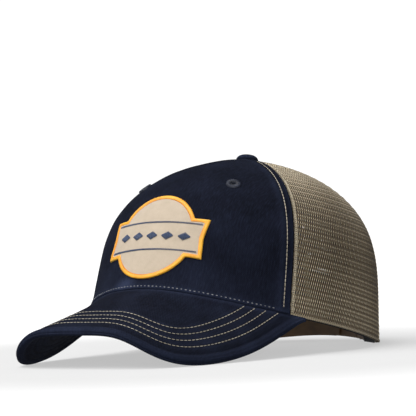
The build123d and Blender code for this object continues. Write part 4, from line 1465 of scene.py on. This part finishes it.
class CapStrap(bpy.types.Operator):
    """Finish the snap strap's two halves and their sewn-in ends"""

    bl_idname = "cap.strap"
    bl_label = "Snap Strap"

    def execute(self, context):
        plastic = "moulded_strap_plastic"
        for word, side, half in (("hole", 1, "outer_strap"), ("peg", -1, "inner_strap")):
            finish_node(f"{word}_strap", plastic)
            finish_node(f"{word}_strap_tab", plastic)
            shape = strap_fold_shape(side)
            fold = cloth(
                f"{word}_strap_fold", 6, 8, shape, 0.7, plastic, "strap_plastic", body=None, flip=side < 0
            )
            start, end = stand(shape(np.array([0.3, 0.7]), np.array([0.5, 0.5]))[0])
            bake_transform(fold)
        return {"FINISHED"}


class CapStage(bpy.types.Operator):
    """Set the floor, the soft lights and the camera"""

    bl_idname = "cap.stage"
    bl_label = "Stage"

    def execute(self, context):
        scene = context.scene
        bm = bmesh.new()
        bmesh.ops.create_grid(bm, x_segments=8, y_segments=8, size=6.0)
        mesh = bpy.data.meshes.new("floor")
        bm.to_mesh(mesh)
        bm.free()
        mesh.materials.append(material_of("backlit_acrylic_floor"))
        floor = bpy.data.objects.new("floor", mesh)
        floor.visible_diffuse = False
        scene.collection.objects.link(floor)

        # The world is white behind the cap and dim as a light, so the suns shape the folds.
        scene.world = bpy.data.worlds.new("studio")
        scene.world.use_nodes = True
        tree = scene.world.node_tree
        tree.nodes.clear()
        seen = add(tree, "LightPath", out="Is Camera Ray")
        strength = add(tree, "MapRange", {"Value": seen, "To Min": 0.15, "To Max": 1.1})
        sky = add(tree, "Background", {"Color": (1.0, 1.0, 1.0, 1.0), "Strength": strength})
        add(tree, "OutputWorld", {"Surface": sky})
        lights = (("key", (-0.3, -0.45, 0.9), 62.0, 3.9), ("front", (0.74, -0.82, 0.12), 36.0, 1.72))
        for name, towards, spread, energy in lights:
            sun = bpy.data.lights.new(name, "SUN")
            sun.angle = math.radians(spread)
            sun.energy = energy
            light = bpy.data.objects.new(name, sun)
            light.location = towards
            light.rotation_euler = Vector(towards).to_track_quat("Z", "Y").to_euler()
            scene.collection.objects.link(light)

        lens = bpy.data.cameras.new("camera")
        lens.sensor_width = 36.0
        lens.lens = 188.78
        lens.clip_start = 0.05
        lens.clip_end = 30.0
        camera = bpy.data.objects.new("camera", lens)
        right = Vector((0.803589, 0.593701, -0.041993))
        up = Vector((0.039484, 0.017223, 0.999071))
        turned = Matrix((right, up, right.cross(up))).transposed().to_4x4()
        camera.matrix_world = Matrix.Translation((0.812944, -1.09489, 0.077825)) @ turned
        scene.collection.objects.link(camera)
        scene.camera = camera
        scene.view_settings.view_transform = "Standard"
        return {"FINISHED"}


class CapPanel(bpy.types.Panel):
    """The cap's pieces, each with its button"""

    bl_idname = "VIEW3D_PT_cap"
    bl_label = "Trucker Cap"
    bl_space_type = "VIEW_3D"
    bl_region_type = "UI"
    bl_category = "Cap"

    def draw(self, context):
        layout = self.layout
        for piece in PIECES:
            layout.operator(piece.bl_idname)
        for group in (context.scene.cap_sizes, context.scene.cap_colours):
            for name in group.bl_rna.properties.keys():
                if name not in {"rna_type", "name"}:
                    layout.prop(group, name)


PIECES = (
    CapStage, CapFront, CapMesh, CapHems, CapSeams, CapVisor, CapStitching, CapButton, CapEyelets, CapBadge,
    CapStrap,
)
KINDS = (CapSizes, CapColours, *PIECES, CapPanel)


def register():
    for kind in KINDS:
        bpy.utils.register_class(kind)
    bpy.types.Scene.cap_sizes = PointerProperty(type=CapSizes)
    bpy.types.Scene.cap_colours = PointerProperty(type=CapColours)


def unregister():
    del bpy.types.Scene.cap_colours
    del bpy.types.Scene.cap_sizes
    for kind in reversed(KINDS):
        bpy.utils.unregister_class(kind)


def plain(corners):
    return [[float(value) for value in corner] for corner in corners]


def main():
    register()
    for piece in PIECES:
        group, name = piece.bl_idname.split(".")
        getattr(getattr(bpy.ops, group), name)()


if __name__ == "__main__":
    main()
